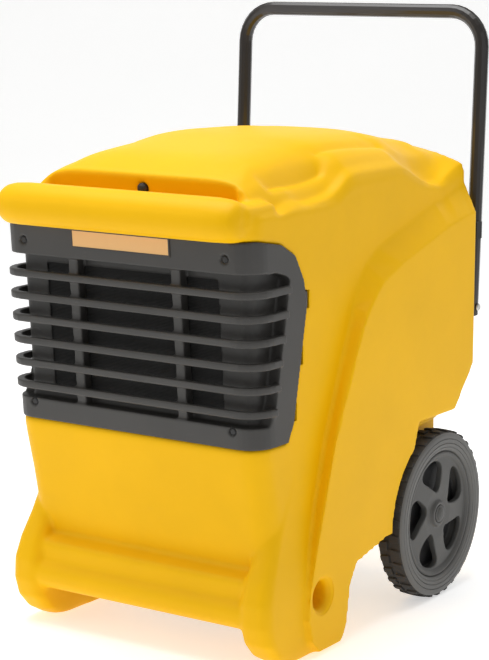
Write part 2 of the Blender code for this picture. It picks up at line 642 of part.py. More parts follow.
def air_filter():
    """The woven filter held behind the air window."""
    y = SHELL_Y + TUB_INSET - GRILLE_PROUD + TUB_WALL + GAP
    pad = box("air_filter", (-WINDOW_HALF - 0.012, y, 0.418), (WINDOW_HALF + 0.012, y + 0.008, 0.636),
              0.001, 1)
    finish(lean(pad), BLACK, 0.95)


# ---- the refrigeration circuit
COIL_HALF = 0.185
COIL_LOW = 0.285
COIL_HIGH = 0.660
COIL_THICK = 0.042
RETURNS = 4
EVAPORATOR_Y = 0.165  # from the front roll
CONDENSER_Y = 0.222
FAN_RADIUS = 0.135
FAN_Z = 0.490
SHROUD_Y = 0.276
FAN_Y = 0.290
FAN_DEEP = 0.030
BLADES = 5
COMPRESSOR = (-0.085, 0.475, 0.072)  # x, distance from the front roll, radius
COMPRESSOR_HIGH = 0.190


def coil(name, distance, colour):
    """A finned block between end plates, its tube returns standing out of both ends."""
    y = FRONT + distance
    block = box(name, (-COIL_HALF, y, COIL_LOW), (COIL_HALF, y + COIL_THICK, COIL_HIGH))
    for side, sign in sides():
        for number in range(RETURNS):
            z = COIL_LOW + 0.04 + number * (COIL_HIGH - COIL_LOW - 0.08) / (RETURNS - 1)
            middle = y + COIL_THICK / 2
            near, far = sign * (COIL_HALF - 0.004), sign * (COIL_HALF + 0.016)
            loop = [(near, middle, z - 0.012), (far, middle, z - 0.012), (far, middle, z + 0.012),
                    (near, middle, z + 0.012)]
            join(block, tube(f"{name}_return_{side}_{number}", bend(loop, 0.011, 2), 0.0045, 0))
    finish(block, colour, 0.4, 0.9)


def drip_tray():
    """An open tray under both coils with a drain stub in its floor."""
    low, high = FRONT + EVAPORATOR_Y - 0.010, FRONT + CONDENSER_Y + COIL_THICK + 0.008
    tray = box("drip_tray", (-COIL_HALF - 0.020, low, COIL_LOW - 0.040),
               (COIL_HALF + 0.020, high, COIL_LOW - 0.006))
    inner = box("tray_inner", (-COIL_HALF - 0.017, low + 0.003, COIL_LOW - 0.037),
                (COIL_HALF + 0.017, high - 0.003, COIL_LOW))
    cut(tray, inner)
    x, y = 0.12, FRONT + CONDENSER_Y + 0.02
    join(tray, rod("tray_stub", 0.008, (x, y, COIL_LOW - 0.062), (x, y, COIL_LOW - 0.038), 16))
    cut(tray, rod("tray_drain", 0.005, (x, y, COIL_LOW - 0.08), (x, y, COIL_LOW - 0.02), 16))
    finish(tray, GREY, 0.6)


def fan_shroud():
    """The panel that carries the fan, with an inlet ring round its opening."""
    y = FRONT + SHROUD_Y
    shroud = box("fan_shroud", (-COIL_HALF - 0.012, y, COIL_LOW - 0.005),
                 (COIL_HALF + 0.012, y + 0.003, COIL_HIGH))
    join(shroud, rod("shroud_seat", FAN_RADIUS + 0.009, (0, y + 0.001, FAN_Z), (0, y + 0.048, FAN_Z), 40))
    cut(shroud, rod("shroud_opening", FAN_RADIUS + 0.006, (0, y - 0.02, FAN_Z), (0, y + 0.06, FAN_Z), 40))
    finish(shroud, GREY, 0.6)


def fan():
    """Axial impeller, its motor behind it and the bracket that ties the motor to the shroud ring."""
    y = FRONT + FAN_Y
    hub = rod("fan_impeller", 0.040, (0, y, FAN_Z), (0, y + FAN_DEEP, FAN_Z), 24, 0.003)
    for number in range(BLADES):
        turn = math.tau * number / BLADES
        loops = []
        for radius, chord, pitch in ((0.034, 0.050, 42), (0.085, 0.075, 30), (FAN_RADIUS, 0.090, 22)):
            half, thick = chord / 2, 0.0012
            along = (math.cos(math.radians(pitch)), math.sin(math.radians(pitch)))
            loop = []
            for u, v in ((-half, -thick), (half, -thick), (half, thick), (-half, thick)):
                x, depth = u * along[0] - v * along[1], u * along[1] + v * along[0]
                spot = Matrix.Rotation(turn + x / radius, 3, "Y") @ Vector((0, 0, radius))
                limit = max(-FAN_DEEP / 2 + 0.001, min(FAN_DEEP / 2 - 0.001, depth))
                loop.append((spot.x, y + FAN_DEEP / 2 + limit, FAN_Z + spot.z))
            loops.append(loop)
        join(hub, loft(f"fan_blade_{number + 1}", loops))
    finish(hub, GREY, 0.5)
    back = y + FAN_DEEP + 0.016
    motor = rod("fan_motor", 0.038, (0, back, FAN_Z), (0, back + 0.062, FAN_Z), 28, 0.004)
    join(motor, rod("fan_shaft", 0.005, (0, y + FAN_DEEP + GAP, FAN_Z), (0, back + 0.01, FAN_Z), 12))
    finish(motor, ZINC, 0.4, 0.6)
    ring = turned("fan_motor_bracket", [(0.038 + GAP, 0), (0.044, 0), (0.044, 0.012), (0.038 + GAP, 0.012)],
                  (0, back + 0.006, FAN_Z), (0, 1, 0), 32)
    for number in range(4):
        turn = Matrix.Rotation(math.tau * (number + 0.5) / 4, 3, "Y")
        near = turn @ Vector((0, 0, 0.042))
        far = turn @ Vector((0, 0, FAN_RADIUS + 0.018))
        ends = [(p.x, back + 0.012, FAN_Z + p.z) for p in (near, far)]
        join(ring, rod(f"bracket_arm_{number + 1}", 0.004, *ends, 10))
    finish(ring, ZINC, 0.4, 0.6)


def compressor():
    """The sealed compressor on three rubber grommets, with its suction accumulator."""
    x, distance, radius = COMPRESSOR
    y = FRONT + distance
    floor = BASE_Z + 0.003
    profile = [(0, 0.016), (radius - 0.030, 0.016), (radius - 0.010, 0.022), (radius, 0.045),
               (radius, COMPRESSOR_HIGH - 0.045), (radius - 0.008, COMPRESSOR_HIGH - 0.022),
               (radius - 0.030, COMPRESSOR_HIGH - 0.004), (0, COMPRESSOR_HIGH)]
    pot = turned("compressor", [(r, h) for r, h in reversed(profile)], (x, y, floor), (0, 0, 1), 32)
    foot = 0.086
    turns = [math.tau * n / 3 + 0.3 * s for n in range(3) for s in (-1, 1)]
    plate = prism("compressor_plate", [(x + foot * math.cos(a), y + foot * math.sin(a)) for a in turns],
                  "Z", floor + 0.0125, floor + 0.0165)
    join(pot, plate)
    for number in range(3):
        turn = math.tau * number / 3
        px, py = x + (foot - 0.016) * math.cos(turn), y + (foot - 0.016) * math.sin(turn)
        grommet = turned(f"compressor_grommet_{number + 1}", [(0, 0.012), (0.008, 0.012), (0.011, 0.006),
                                                             (0.010, 0.0), (0, 0.0)], (px, py, floor + GAP),
                         (0, 0, 1), 16)
        finish(grommet, BLACK, 0.9)
    finish(pot, BLACK, 0.35, 0.3)
    tank = turned("accumulator", [(0, 0.150), (0.018, 0.146), (0.026, 0.130), (0.026, 0.020),
                                  (0.018, 0.004),
                                  (0, 0.0)], (x + radius + 0.036, y, floor + 0.040), (0, 0, 1), 24)
    finish(tank, BLACK, 0.35, 0.3)
    drier = turned("filter_drier", [(0, 0.110), (0.008, 0.108), (0.016, 0.090), (0.016, 0.020),
                                    (0.008, 0.002),
                                    (0, 0.0)], (0.155, FRONT + 0.385, floor + 0.12), (0, 0, 1), 20)
    finish(drier, COPPER, 0.3, 1.0)


def pipes():
    """Discharge pipe to the condenser, suction from the evaporator, liquid through the drier."""
    x, distance, radius = COMPRESSOR
    y = FRONT + distance
    floor = BASE_Z + 0.003
    top = floor + COMPRESSOR_HIGH
    side = -COIL_HALF - 0.012
    tank_x = x + radius + 0.036
    routes = {
        "discharge_pipe": [(x - 0.02, y, top + GAP), (x - 0.02, y, top + 0.030), (side, y, top + 0.030),
                           (side, FRONT + CONDENSER_Y + COIL_THICK + 0.006 + GAP + 0.024, top + 0.030)],
        "suction_pipe": [(tank_x, y, floor + 0.190 + GAP), (tank_x, y, top + 0.050),
                         (COIL_HALF + 0.016, y, top + 0.050),
                         (COIL_HALF + 0.016, FRONT + SHROUD_Y + 0.030, top + 0.050)],
        "liquid_pipe": [(0.155, FRONT + 0.385, floor + 0.230 + GAP), (0.155, FRONT + 0.385, floor + 0.270),
                        (0.190, FRONT + 0.385, floor + 0.270),
                            (0.190, FRONT + SHROUD_Y + 0.030, floor + 0.270)],
    }
    for name, corners in routes.items():
        thick = 0.004 if name == "liquid_pipe" else 0.005
        finish(tube(name, bend(corners, 0.014, 4), thick, 2), COPPER, 0.3, 1.0)


SPIGOT_X = 0.13
SPIGOT_Z = BASE_Z + 0.070


def drainage():
    """A condensate pump on the base, the hose from the tray and the spigot through the rear wall."""
    floor = BASE_Z + 0.003 + GAP
    y = FRONT + 0.44
    pump = box("condensate_pump", (0.075, y - 0.045, floor), (0.185, y + 0.045, floor + 0.060), 0.006)
    join(pump, rod("pump_motor", 0.022, (0.13, y, floor + 0.05), (0.13, y, floor + 0.090), 24, 0.003))
    finish(pump, GREY, 0.5)
    x, stub_y = 0.12, FRONT + CONDENSER_Y + 0.02
    route = [(x, stub_y, COIL_LOW - 0.062 - GAP), (x, stub_y, floor + 0.030),
             (x, y - 0.045 - GAP, floor + 0.030)]
    finish(tube("drain_hose", bend(route, 0.012, 5), 0.006, 3), GREY, 0.6)
    rear = REAR - 0.046
    spigot = turned("drain_spigot", [(0.0045, -0.012), (0.0080, -0.012), (0.0080, GAP), (0.014, GAP),
                                     (0.014, 0.004), (0.0085, 0.004), (0.0085, 0.012), (0.0095, 0.014),
                                     (0.0075, 0.026), (0.0045, 0.026)], (SPIGOT_X, rear, SPIGOT_Z),
                                         (0, 1, 0), 16)
    finish(spigot, BLACK, 0.5)


# ---- base, axle and wheels
def base_plate():
    """The folded steel tray that carries everything, and the two saddles that hold the axle under it."""
    front, rear = FRONT + 0.150, REAR - 0.060
    half = WELL_X - WALL - 0.004
    plate = box("base_plate", (-half, front, BASE_Z), (half, rear, BASE_Z + 0.003))
    for name, low, high in (("front_lip", front, front + 0.003), ("rear_lip", rear - 0.003, rear)):
        join(plate, box(name, (-half, low, BASE_Z - 0.018), (half, high, BASE_Z + 0.002)))
    finish(plate, ZINC, 0.4, 0.8)
    for side, sign in sides():
        x = sign * 0.140
        outline = [(WHEEL_Y - 0.022, BASE_Z - GAP), (WHEEL_Y - 0.022, BASE_Z - 0.004),
                   (WHEEL_Y - 0.013, BASE_Z - 0.004)]
        outline += arc(WHEEL_Y, WHEEL_RADIUS, 0.013, 180, 360, 8)
        outline += [(WHEEL_Y + 0.013, BASE_Z - 0.004), (WHEEL_Y + 0.022, BASE_Z - 0.004),
                    (WHEEL_Y + 0.022, BASE_Z - GAP)]
        saddle = prism(f"axle_saddle_{side}", outline, "X", x - 0.012, x + 0.012)
        cut(saddle, rod(f"saddle_bore_{side}", AXLE_RADIUS + GAP, (x - 0.02, WHEEL_Y, WHEEL_RADIUS),
                        (x + 0.02, WHEEL_Y, WHEEL_RADIUS)))
        finish(saddle, ZINC, 0.4, 0.8)


def wheels():
    """A through axle; on each end a spoked rim, its tyre, a spring washer and a snap-in hub cap."""
    end = TYRE_OUT - 0.016
    axle = rod("axle", AXLE_RADIUS, (-end, WHEEL_Y, WHEEL_RADIUS), (end, WHEEL_Y, WHEEL_RADIUS), 24, 0.001)
    finish(axle, STEEL, 0.3, 1.0)
    half = TYRE_WIDTH / 2
    for side, sign in sides():
        centre = (sign * (TYRE_OUT - half), WHEEL_Y, WHEEL_RADIUS)
        outward = (sign, 0, 0)
        crown = WHEEL_RADIUS
        tyre = turned(f"tyre_{side}", [(RIM_RADIUS + GAP, -half + 0.008),
                                       (RIM_RADIUS + 0.006, -half + 0.002),
                                       (crown - 0.018, -half), (crown - 0.006, -half + 0.003),
                                       (crown - 0.001, -half + 0.010), (crown, -0.006), (crown, 0.006),
                                       (crown - 0.001, half - 0.010), (crown - 0.006, half - 0.003),
                                       (crown - 0.018, half), (RIM_RADIUS + 0.006, half - 0.002),
                                       (RIM_RADIUS + GAP, half - 0.008)], centre, outward, WHEEL_STEPS)
        finish(tyre, BLACK, 0.85)
        rim = turned(f"wheel_rim_{side}", [(RIM_RADIUS, -half + 0.008), (RIM_RADIUS, half - 0.008),
                                           (RIM_RADIUS - 0.002, half - 0.006),
                                               (RIM_RADIUS - 0.008, half - 0.007),
                                           (RIM_RADIUS - 0.012, half - 0.012),
                                               (RIM_RADIUS - 0.012, -half + 0.012),
                                           (RIM_RADIUS - 0.008, -half + 0.008)], centre, outward,
                                               WHEEL_STEPS)
        web = rod(f"wheel_web_{side}", RIM_RADIUS - 0.006, (centre[0] + sign * (half - 0.022), WHEEL_Y,
                                                            WHEEL_RADIUS),
                  (centre[0] + sign * (half - 0.010), WHEEL_Y, WHEEL_RADIUS), WHEEL_STEPS)
        for number in range(SPOKES):
            window = []
            for radius, angle in ((0.040, 0), (0.044, 24), (0.062, 34), (0.086, 40), (0.096, 34),
                                  (0.098, 12),
                                  (0.096, -10), (0.088, -17), (0.070, -12), (0.050, -10)):
                turn = math.radians(angle + 360 / SPOKES * number)
                window.append((WHEEL_Y - radius * math.sin(turn), WHEEL_RADIUS + radius * math.cos(turn)))
            low, high = sorted((sign * TYRE_IN, sign * TYRE_OUT))
            cut(web, prism(f"spoke_window_{side}_{number}", window, "X", low, high))
        hub = turned(f"wheel_hub_{side}", [(0.022, half - 0.009), (0.018, half - 0.005),
                                           (0.004, half - 0.005),
                                           (0.004, -half), (0.018, -half), (0.020, -half + 0.006)],
                     centre, outward, 32)
        bore = rod(f"hub_bore_{side}", AXLE_RADIUS + GAP, (sign * (TYRE_IN - 0.01), WHEEL_Y, WHEEL_RADIUS),
                   (sign * (TYRE_OUT + 0.01), WHEEL_Y, WHEEL_RADIUS), 24)
        pocket = rod(f"hub_pocket_{side}", 0.0155, (sign * (TYRE_OUT - 0.020), WHEEL_Y, WHEEL_RADIUS),
                     (sign * (TYRE_OUT + 0.01), WHEEL_Y, WHEEL_RADIUS), 32)
        back = rod(f"wheel_back_{side}", RIM_RADIUS - 0.006, (centre[0] - sign * (half - 0.0155), WHEEL_Y,
                                                              WHEEL_RADIUS),
                   (centre[0] - sign * (half - 0.0115), WHEEL_Y, WHEEL_RADIUS), WHEEL_STEPS)
        join(rim, web, back, hub)
        cut(rim, pocket, bore)
        finish(rim, GREY, 0.5)
        washer = turned(f"axle_washer_{side}", [(AXLE_RADIUS + GAP, half - 0.0196), (0.0150, half - 0.0196),
                                                (0.0150, half - 0.0176),
                                                    (AXLE_RADIUS + GAP, half - 0.0176)],
                        centre, outward, 24)
        finish(washer, STEEL, 0.3, 1.0)
        cap = turned(f"hub_cap_{side}", [(0, half), (0.006, half - 0.0004), (0.0105, half - 0.0022),
                                         (0.012, half - 0.004), (0.0152, half - 0.005),
                                             (0.0152, half - 0.0115),
                                         (0.013, half - 0.0115), (0.012, half - 0.008), (0, half - 0.008)],
                     centre, outward, 20)
        finish(cap, GREY, 0.5)


# ---- the rear: cover, controls and handle
PANEL_LOW = 0.600
PANEL_HIGH = 0.700
PANEL_HALF = 0.150


def rear_cover():
    """The screwed-on rear cover with its exhaust louvres and the opening for the control panel."""
    half = REAR_OPENING_WIDTH / 2 + 0.012 - GAP
    low, high = REAR_OPENING_LOW + 0.108 + GAP, REAR_OPENING_HIGH + 0.012 - GAP
    y = REAR - 0.003 + GAP
    cover = box("rear_cover", (-half, y, low), (half, REAR - GAP, high), 0.001, 1)
    cover_back = box("cover_rib", (-half + 0.016, y - 0.004, low + 0.016),
                     (half - 0.016, y + 0.001, high - 0.016))
    join(cover, cover_back)
    for number in range(9):
        z = low + 0.032 + number * 0.0165
        for side, sign in sides():
            near, far = sorted((sign * 0.008, sign * (half - 0.030)))
            cut(cover, box(f"louvre_{side}_{number}", (near, y - 0.02, z), (far, REAR + 0.02, z + 0.009)))
    cut(cover, box("panel_way", (-PANEL_HALF + 0.008, REAR - 0.05, PANEL_LOW + 0.008),
                   (PANEL_HALF - 0.008, REAR + 0.05, PANEL_HIGH - 0.008)))
    finish(cover, DARK, 0.5)


def controls():
    """The control box inside the rear cover, its fascia, and what a hand turns or presses."""
    back = REAR + 0.003
    wall = box("control_box", (-PANEL_HALF + 0.012, REAR - 0.055, PANEL_LOW + 0.012),
               (PANEL_HALF - 0.012, REAR - 0.007 - GAP, PANEL_HIGH - 0.012), 0.003)
    finish(wall, GREY, 0.6)
    fascia = box("control_panel", (-PANEL_HALF, REAR, PANEL_LOW), (PANEL_HALF, back, PANEL_HIGH), 0.001, 1)
    join(fascia, box("panel_spigot", (-PANEL_HALF + 0.008 + GAP, REAR - 0.006, PANEL_LOW + 0.008 + GAP),
                     (PANEL_HALF - 0.008 - GAP, REAR + 0.001, PANEL_HIGH - 0.008 - GAP)))
    middle = (PANEL_LOW + PANEL_HIGH) / 2
    rocker, knob, inlet = 0.105, 0.045, -0.108
    display = (-0.062, 0.008)
    floor = REAR - 0.004
    cut(fascia, box("rocker_seat", (rocker - 0.0125, floor, middle - 0.0155),
                    (rocker + 0.0125, REAR + 0.02, middle + 0.0155)))
    cut(fascia, box("display_seat", (display[0], REAR + 0.0005, middle),
                    (display[1], REAR + 0.02, middle + 0.030)))
    cut(fascia, rod("knob_seat", 0.0045, (knob, floor, middle), (knob, REAR + 0.02, middle), 16))
    cut(fascia, box("inlet_seat", (inlet - 0.014, floor, middle - 0.012),
                    (inlet + 0.014, REAR + 0.02, middle + 0.012)))
    buttons = {"button_up": -0.045, "button_down": -0.009}
    for name, x in buttons.items():
        cut(fascia, rod(f"{name}_seat", 0.0068, (x, floor, middle - 0.022),
                        (x, REAR + 0.02, middle - 0.022), 20))
    finish(fascia, BLACK, 0.45)
    glass = box("display_window", (display[0] + GAP, REAR + 0.0005 + GAP, middle + GAP),
                (display[1] - GAP, back + 0.0005, middle + 0.030 - GAP), 0.0005, 1)
    finish(glass, (0.05, 0.07, 0.06), 0.1)
    for name, x in buttons.items():
        profile = [(0, 0.0085), (0.0050, 0.0085), (0.0062, 0.0072), (0.0062, 0.0), (0, 0.0)]
        finish(turned(name, profile, (x, floor + 0.0022, middle - 0.022), (0, 1, 0), 20), GREY, 0.5)
    blade = [(floor + 0.0015, middle - 0.0015), (back - 0.001, middle - 0.0145),
             (back + 0.0035, middle - 0.0142),
             (back + 0.0015, middle), (back + 0.0035, middle + 0.0142), (back - 0.001, middle + 0.0145),
             (floor + 0.0015, middle + 0.0015)]
    finish(prism("main_switch", blade, "X", rocker - 0.0115, rocker + 0.0115, 0.0005, 1),
           (0.35, 0.02, 0.015), 0.4)
    grip = turned("humidistat_knob", [(0, 0.0185), (0.0125, 0.0185), (0.0145, 0.0165), (0.0155, 0.003),
                                      (0.0185, 0.0015), (0.0185, 0.0004), (0.0040, 0.0004),
                                          (0.0040, -0.0062),
                                      (0, -0.0062)], (knob, back, middle), (0, 1, 0), 32)
    join(grip, box("knob_pointer", (knob - 0.0012, back + 0.004, middle + 0.012),
                   (knob + 0.0012, back + 0.0175, middle + 0.0172)))
    finish(grip, BLACK, 0.5)
    socket = box("power_inlet", (inlet - 0.014 + GAP, floor + GAP, middle - 0.012 + GAP),
                 (inlet + 0.014 - GAP, back - GAP, middle + 0.012 - GAP))
    join(socket, box("inlet_flange", (inlet - 0.024, back + GAP, middle - 0.015),
                     (inlet + 0.024, back + 0.003, middle + 0.015)),
         box("inlet_neck", (inlet - 0.013, back - 0.002, middle - 0.011),
             (inlet + 0.013, back + 0.002, middle + 0.011)))
    cut(socket, box("inlet_mouth", (inlet - 0.011, floor + 0.002, middle - 0.008),
                    (inlet + 0.011, REAR + 0.02, middle + 0.008)))
    finish(socket, BLACK, 0.5)


def handle():
    """The bent tube with its end plugs, a hinge bracket and bolt at each leg and a rest clip above it."""
    def leg(z):
        return LEG_Y + HANDLE_LEAN * (z - PIVOT_Z)

    half = HANDLE_SPAN / 2
    low, top = PIVOT_Z - LEG_BELOW_PIVOT, HANDLE_TOP - TUBE_RADIUS
    corners = [(-half, leg(low), low), (-half, leg(top), top), (half, leg(top), top), (half, leg(low), low)]
    route = bend(corners, HANDLE_CORNER, 8)
    bar = tube("handle_tube", route, TUBE_RADIUS, 4)
    down = Vector((0, -HANDLE_LEAN, -1)).normalized() * 0.01
    longer = [Vector(route[0]) + down] + route[1:-1] + [Vector(route[-1]) + down]
    cut(bar, tube("handle_bore", longer, TUBE_RADIUS - TUBE_WALL, 3))
    for side, sign in sides():
        ends = [(sign * (half + reach), LEG_Y + 0.00013, PIVOT_Z + 0.00017) for reach in (-0.02, 0.02)]
        cut(bar, rod(f"pivot_way_{side}", PIVOT_BOLT_RADIUS + GAP, *ends, 18))
    finish(bar, BLACK, 0.25)
    for side, sign in sides():
        x = sign * half
        plug = turned(f"handle_plug_{side}", [(0, 0.007), (TUBE_RADIUS - TUBE_WALL - 2 * GAP - 0.001,
                                                           0.006),
                                              (TUBE_RADIUS - TUBE_WALL - 2 * GAP, 0.002),
                                              (TUBE_RADIUS - TUBE_WALL - 2 * GAP, -GAP),
                                                  (TUBE_RADIUS, -GAP),
                                              (TUBE_RADIUS * 0.9, -0.0022), (TUBE_RADIUS * 0.6, -0.0038),
                                                  (0, -0.0046)],
                      (x, leg(low), low), (0, HANDLE_LEAN, 1), 20)
        finish(plug, BLACK, 0.5)
        ear_x = x - sign * (TUBE_RADIUS + 0.0006)
        low_x, high_x = sorted((ear_x, ear_x - sign * 0.003))
        ear = [(REAR + GAP, PIVOT_Z - 0.024), (LEG_Y + 0.002, PIVOT_Z - 0.018), (LEG_Y + 0.012, PIVOT_Z),
               (LEG_Y + 0.002, PIVOT_Z + 0.018), (REAR + GAP, PIVOT_Z + 0.024)]
        bracket = prism(f"handle_bracket_{side}", ear, "X", low_x, high_x)
        low_x, high_x = sorted((ear_x - sign * 0.001, ear_x - sign * 0.034))
        join(bracket, box(f"bracket_flange_{side}", (low_x, REAR + GAP, PIVOT_Z - 0.024),
                          (high_x, REAR + 0.0033, PIVOT_Z + 0.024)))
        cut(bracket, rod(f"bracket_bore_{side}", PIVOT_BOLT_RADIUS + GAP, (x, LEG_Y, PIVOT_Z),
                         (x - sign * 0.03, LEG_Y, PIVOT_Z), 20))
        finish(bracket, BLACK, 0.35, 0.4)
        head = TUBE_RADIUS + 0.0005
        bolt = turned(f"pivot_bolt_{side}", [(0, head + 0.003), (0.005, head + 0.003),
                                             (0.0068, head + 0.0012),
                                             (0.0068, head), (PIVOT_BOLT_RADIUS, head),
                                                 (PIVOT_BOLT_RADIUS, -0.019),
                                             (0, -0.019)], (x, LEG_Y, PIVOT_Z), (sign, 0, 0), 20)
        finish(bolt, ZINC, 0.35, 0.9)
        knob = turned(f"clamp_knob_{side}", [(0, -0.030), (0.0095, -0.030), (0.0115, -0.028),
                                             (0.0115, -0.0195),
                                             (0.006, -0.0165), (PIVOT_BOLT_RADIUS + GAP, -0.0165),
                                             (PIVOT_BOLT_RADIUS + GAP, -0.0195), (0, -0.0195)],
                      (x, LEG_Y, PIVOT_Z), (sign, 0, 0), 24)
        finish(knob, BLACK, 0.5)
        z = 0.640
        seat = [(REAR + GAP, z - 0.015), (leg(z) - 0.002, z - 0.015), (leg(z) - 0.002, z + 0.015),
                (REAR + GAP, z + 0.015)]
        rest = prism(f"handle_rest_{side}", seat, "X", x - 0.016, x + 0.016)
        run = [(x, leg(h), h) for h in (z - 0.05, z + 0.05)]
        cut(rest, tube(f"rest_seat_{side}", run, TUBE_RADIUS + GAP, 4))
        finish(rest, BLACK, 0.6)


def build():
    housing_shell()
    front_grille()
    grille_fixings()
    air_filter()
    coil("evaporator_coil", EVAPORATOR_Y, ALUMINIUM)
    coil("condenser_coil", CONDENSER_Y, ALUMINIUM)
    drip_tray()
    fan_shroud()
    fan()
    compressor()
    pipes()
    drainage()
    base_plate()
    wheels()
    rear_cover()
    controls()
    handle()


build()
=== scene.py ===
"""A commercial dehumidifier on wheels: moulded yellow body, wrap-around intake grille, tube handle."""

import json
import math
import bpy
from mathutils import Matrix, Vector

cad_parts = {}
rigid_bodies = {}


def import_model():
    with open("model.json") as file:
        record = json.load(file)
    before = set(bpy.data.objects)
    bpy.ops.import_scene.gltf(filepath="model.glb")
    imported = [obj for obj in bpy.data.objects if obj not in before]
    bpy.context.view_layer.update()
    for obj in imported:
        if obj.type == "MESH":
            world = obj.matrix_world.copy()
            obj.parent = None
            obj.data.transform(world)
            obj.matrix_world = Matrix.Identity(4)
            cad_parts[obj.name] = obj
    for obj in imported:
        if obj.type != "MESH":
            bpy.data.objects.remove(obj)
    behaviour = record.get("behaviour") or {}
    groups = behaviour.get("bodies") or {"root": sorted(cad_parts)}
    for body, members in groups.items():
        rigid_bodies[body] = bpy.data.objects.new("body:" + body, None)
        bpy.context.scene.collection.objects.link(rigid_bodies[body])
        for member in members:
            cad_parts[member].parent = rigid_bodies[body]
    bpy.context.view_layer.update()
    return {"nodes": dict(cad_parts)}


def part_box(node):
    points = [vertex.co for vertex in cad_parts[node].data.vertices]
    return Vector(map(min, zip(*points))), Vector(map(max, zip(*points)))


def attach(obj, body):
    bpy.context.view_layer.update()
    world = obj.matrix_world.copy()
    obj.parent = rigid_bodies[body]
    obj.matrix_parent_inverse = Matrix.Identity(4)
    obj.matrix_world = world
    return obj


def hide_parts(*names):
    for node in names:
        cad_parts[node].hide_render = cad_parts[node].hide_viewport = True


bl_info = {
    "name": "Wheeled dehumidifier",
    "version": (1, 0, 0),
    "blender": (4, 5, 0),
    "location": "View3D > Sidebar > Dehumidifier",
    "description": "Builds a wheeled commercial dehumidifier and a studio round it",
    "category": "Object",
}

import bpy
import numpy as np
from mathutils import Matrix, Vector

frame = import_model()

SHELL_LOW, SHELL_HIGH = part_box("housing_shell")
FRONT, REAR = SHELL_LOW.y, SHELL_HIGH.y  # front of the roll, rear face
TOP = SHELL_HIGH.z
CORE = 0.245  # half width between the proud side panels
MERGE = 1e-5
DUST_TONE = (0.42, 0.40, 0.36, 1)
SIDES = (("left", -1), ("right", 1))


# ---- helpers
def only(piece):
    """Deselects everything but one piece and makes it active."""
    bpy.ops.object.select_all(action="DESELECT")
    piece.select_set(True)
    bpy.context.view_layer.objects.active = piece


def modify(piece, kind, **settings):
    """Adds a modifier with its settings and applies it."""
    only(piece)
    modifier = piece.modifiers.new(kind.lower(), kind)
    for name, value in settings.items():
        setattr(modifier, name, value)
    bpy.ops.object.modifier_apply(modifier=modifier.name)


def edit(piece):
    """Opens a piece in edit mode with all of it selected."""
    only(piece)
    bpy.ops.object.mode_set(mode="EDIT")
    bpy.ops.mesh.select_mode(type="VERT")
    bpy.ops.mesh.select_all(action="SELECT")


def tidy(piece, threshold=MERGE):
    """Merges doubles, turns the faces outwards and leaves edit mode."""
    bpy.ops.mesh.select_all(action="SELECT")
    bpy.ops.mesh.remove_doubles(threshold=threshold)
    bpy.ops.mesh.normals_make_consistent(inside=False)
    bpy.ops.object.mode_set(mode="OBJECT")


def smooth_shade(piece, degrees=40):
    only(piece)
    bpy.ops.object.shade_smooth_by_angle(angle=math.radians(degrees))


def settle(piece):
    """Moves a piece's place, turn and scale into its mesh."""
    only(piece)
    bpy.ops.object.transform_apply(location=True, rotation=True, scale=True)
    return piece


def merged_copy(node, name):
    """A closed mesh of a CAD node to work on; the node itself is left alone."""
    mesh = frame["nodes"][node].data.copy()
    mesh.name = name
    mesh.materials.clear()
    piece = bpy.data.objects.new(name, mesh)
    bpy.context.scene.collection.objects.link(piece)
    edit(piece)
    bpy.ops.mesh.customdata_custom_splitnormals_clear()
    bpy.ops.mesh.remove_doubles(threshold=MERGE)
    bpy.ops.object.mode_set(mode="OBJECT")
    return piece


def block(name, low, high, bevel=0.0, segments=2):
    """A cube primitive between two corners with rounded edges."""
    low, high = Vector(low), Vector(high)
    bpy.ops.mesh.primitive_cube_add(size=1, location=(low + high) / 2)
    piece = bpy.context.object
    piece.name = name
    piece.scale = high - low
    settle(piece)
    if bevel:
        modify(piece, "BEVEL", width=bevel, segments=segments, limit_method="NONE")
    return piece


def turned(name, profile, centre, along, steps=64):
    """A closed profile of (radius, height) spun round an axis."""
    bpy.ops.mesh.primitive_circle_add(vertices=len(profile), radius=1)
    piece = bpy.context.object
    piece.name = name
    for vertex, (radius, height) in zip(piece.data.vertices, profile):
        vertex.co = (radius, 0, height)
    edit(piece)
    bpy.ops.mesh.spin(steps=steps, angle=math.tau, center=(0, 0, 0), axis=(0, 0, 1))
    tidy(piece)
    turn = Vector((0, 0, 1)).rotation_difference(Vector(along)).to_matrix().to_4x4()
    piece.data.transform(Matrix.Translation(centre) @ turn)
    return piece


def joined(name, pieces):
    """Joins pieces into the first one."""
    bpy.ops.object.select_all(action="DESELECT")
    for piece in pieces:
        piece.select_set(True)
    bpy.context.view_layer.objects.active = pieces[0]
    bpy.ops.object.join()
    pieces[0].name = name
    return pieces[0]


def points(piece):
    flat = np.empty(len(piece.data.vertices) * 3, np.float32)
    piece.data.vertices.foreach_get("co", flat)
    return flat.reshape(-1, 3).astype(float)


def put(piece, places):
    piece.data.vertices.foreach_set("co", places.astype(np.float32).ravel())
    piece.data.update()


def ramp(value, start, end):
    """0 before start, 1 after end, smooth between."""
    t = np.clip((value - start) / (end - start), 0, 1)
    return t * t * (3 - 2 * t)


def drop_specks(piece):
    """Deletes what isn't joined to a piece's outer skin: pin-sized hollows that a remesh leaves inside."""
    edit(piece)
    bpy.ops.mesh.select_all(action="DESELECT")
    bpy.ops.object.mode_set(mode="OBJECT")
    places = points(piece)
    piece.data.vertices[int(places[:, 2].argmax())].select = True
    bpy.ops.object.mode_set(mode="EDIT")
    bpy.ops.mesh.select_linked()
    bpy.ops.mesh.select_all(action="INVERT")
    bpy.ops.mesh.delete(type="VERT")
    bpy.ops.object.mode_set(mode="OBJECT")


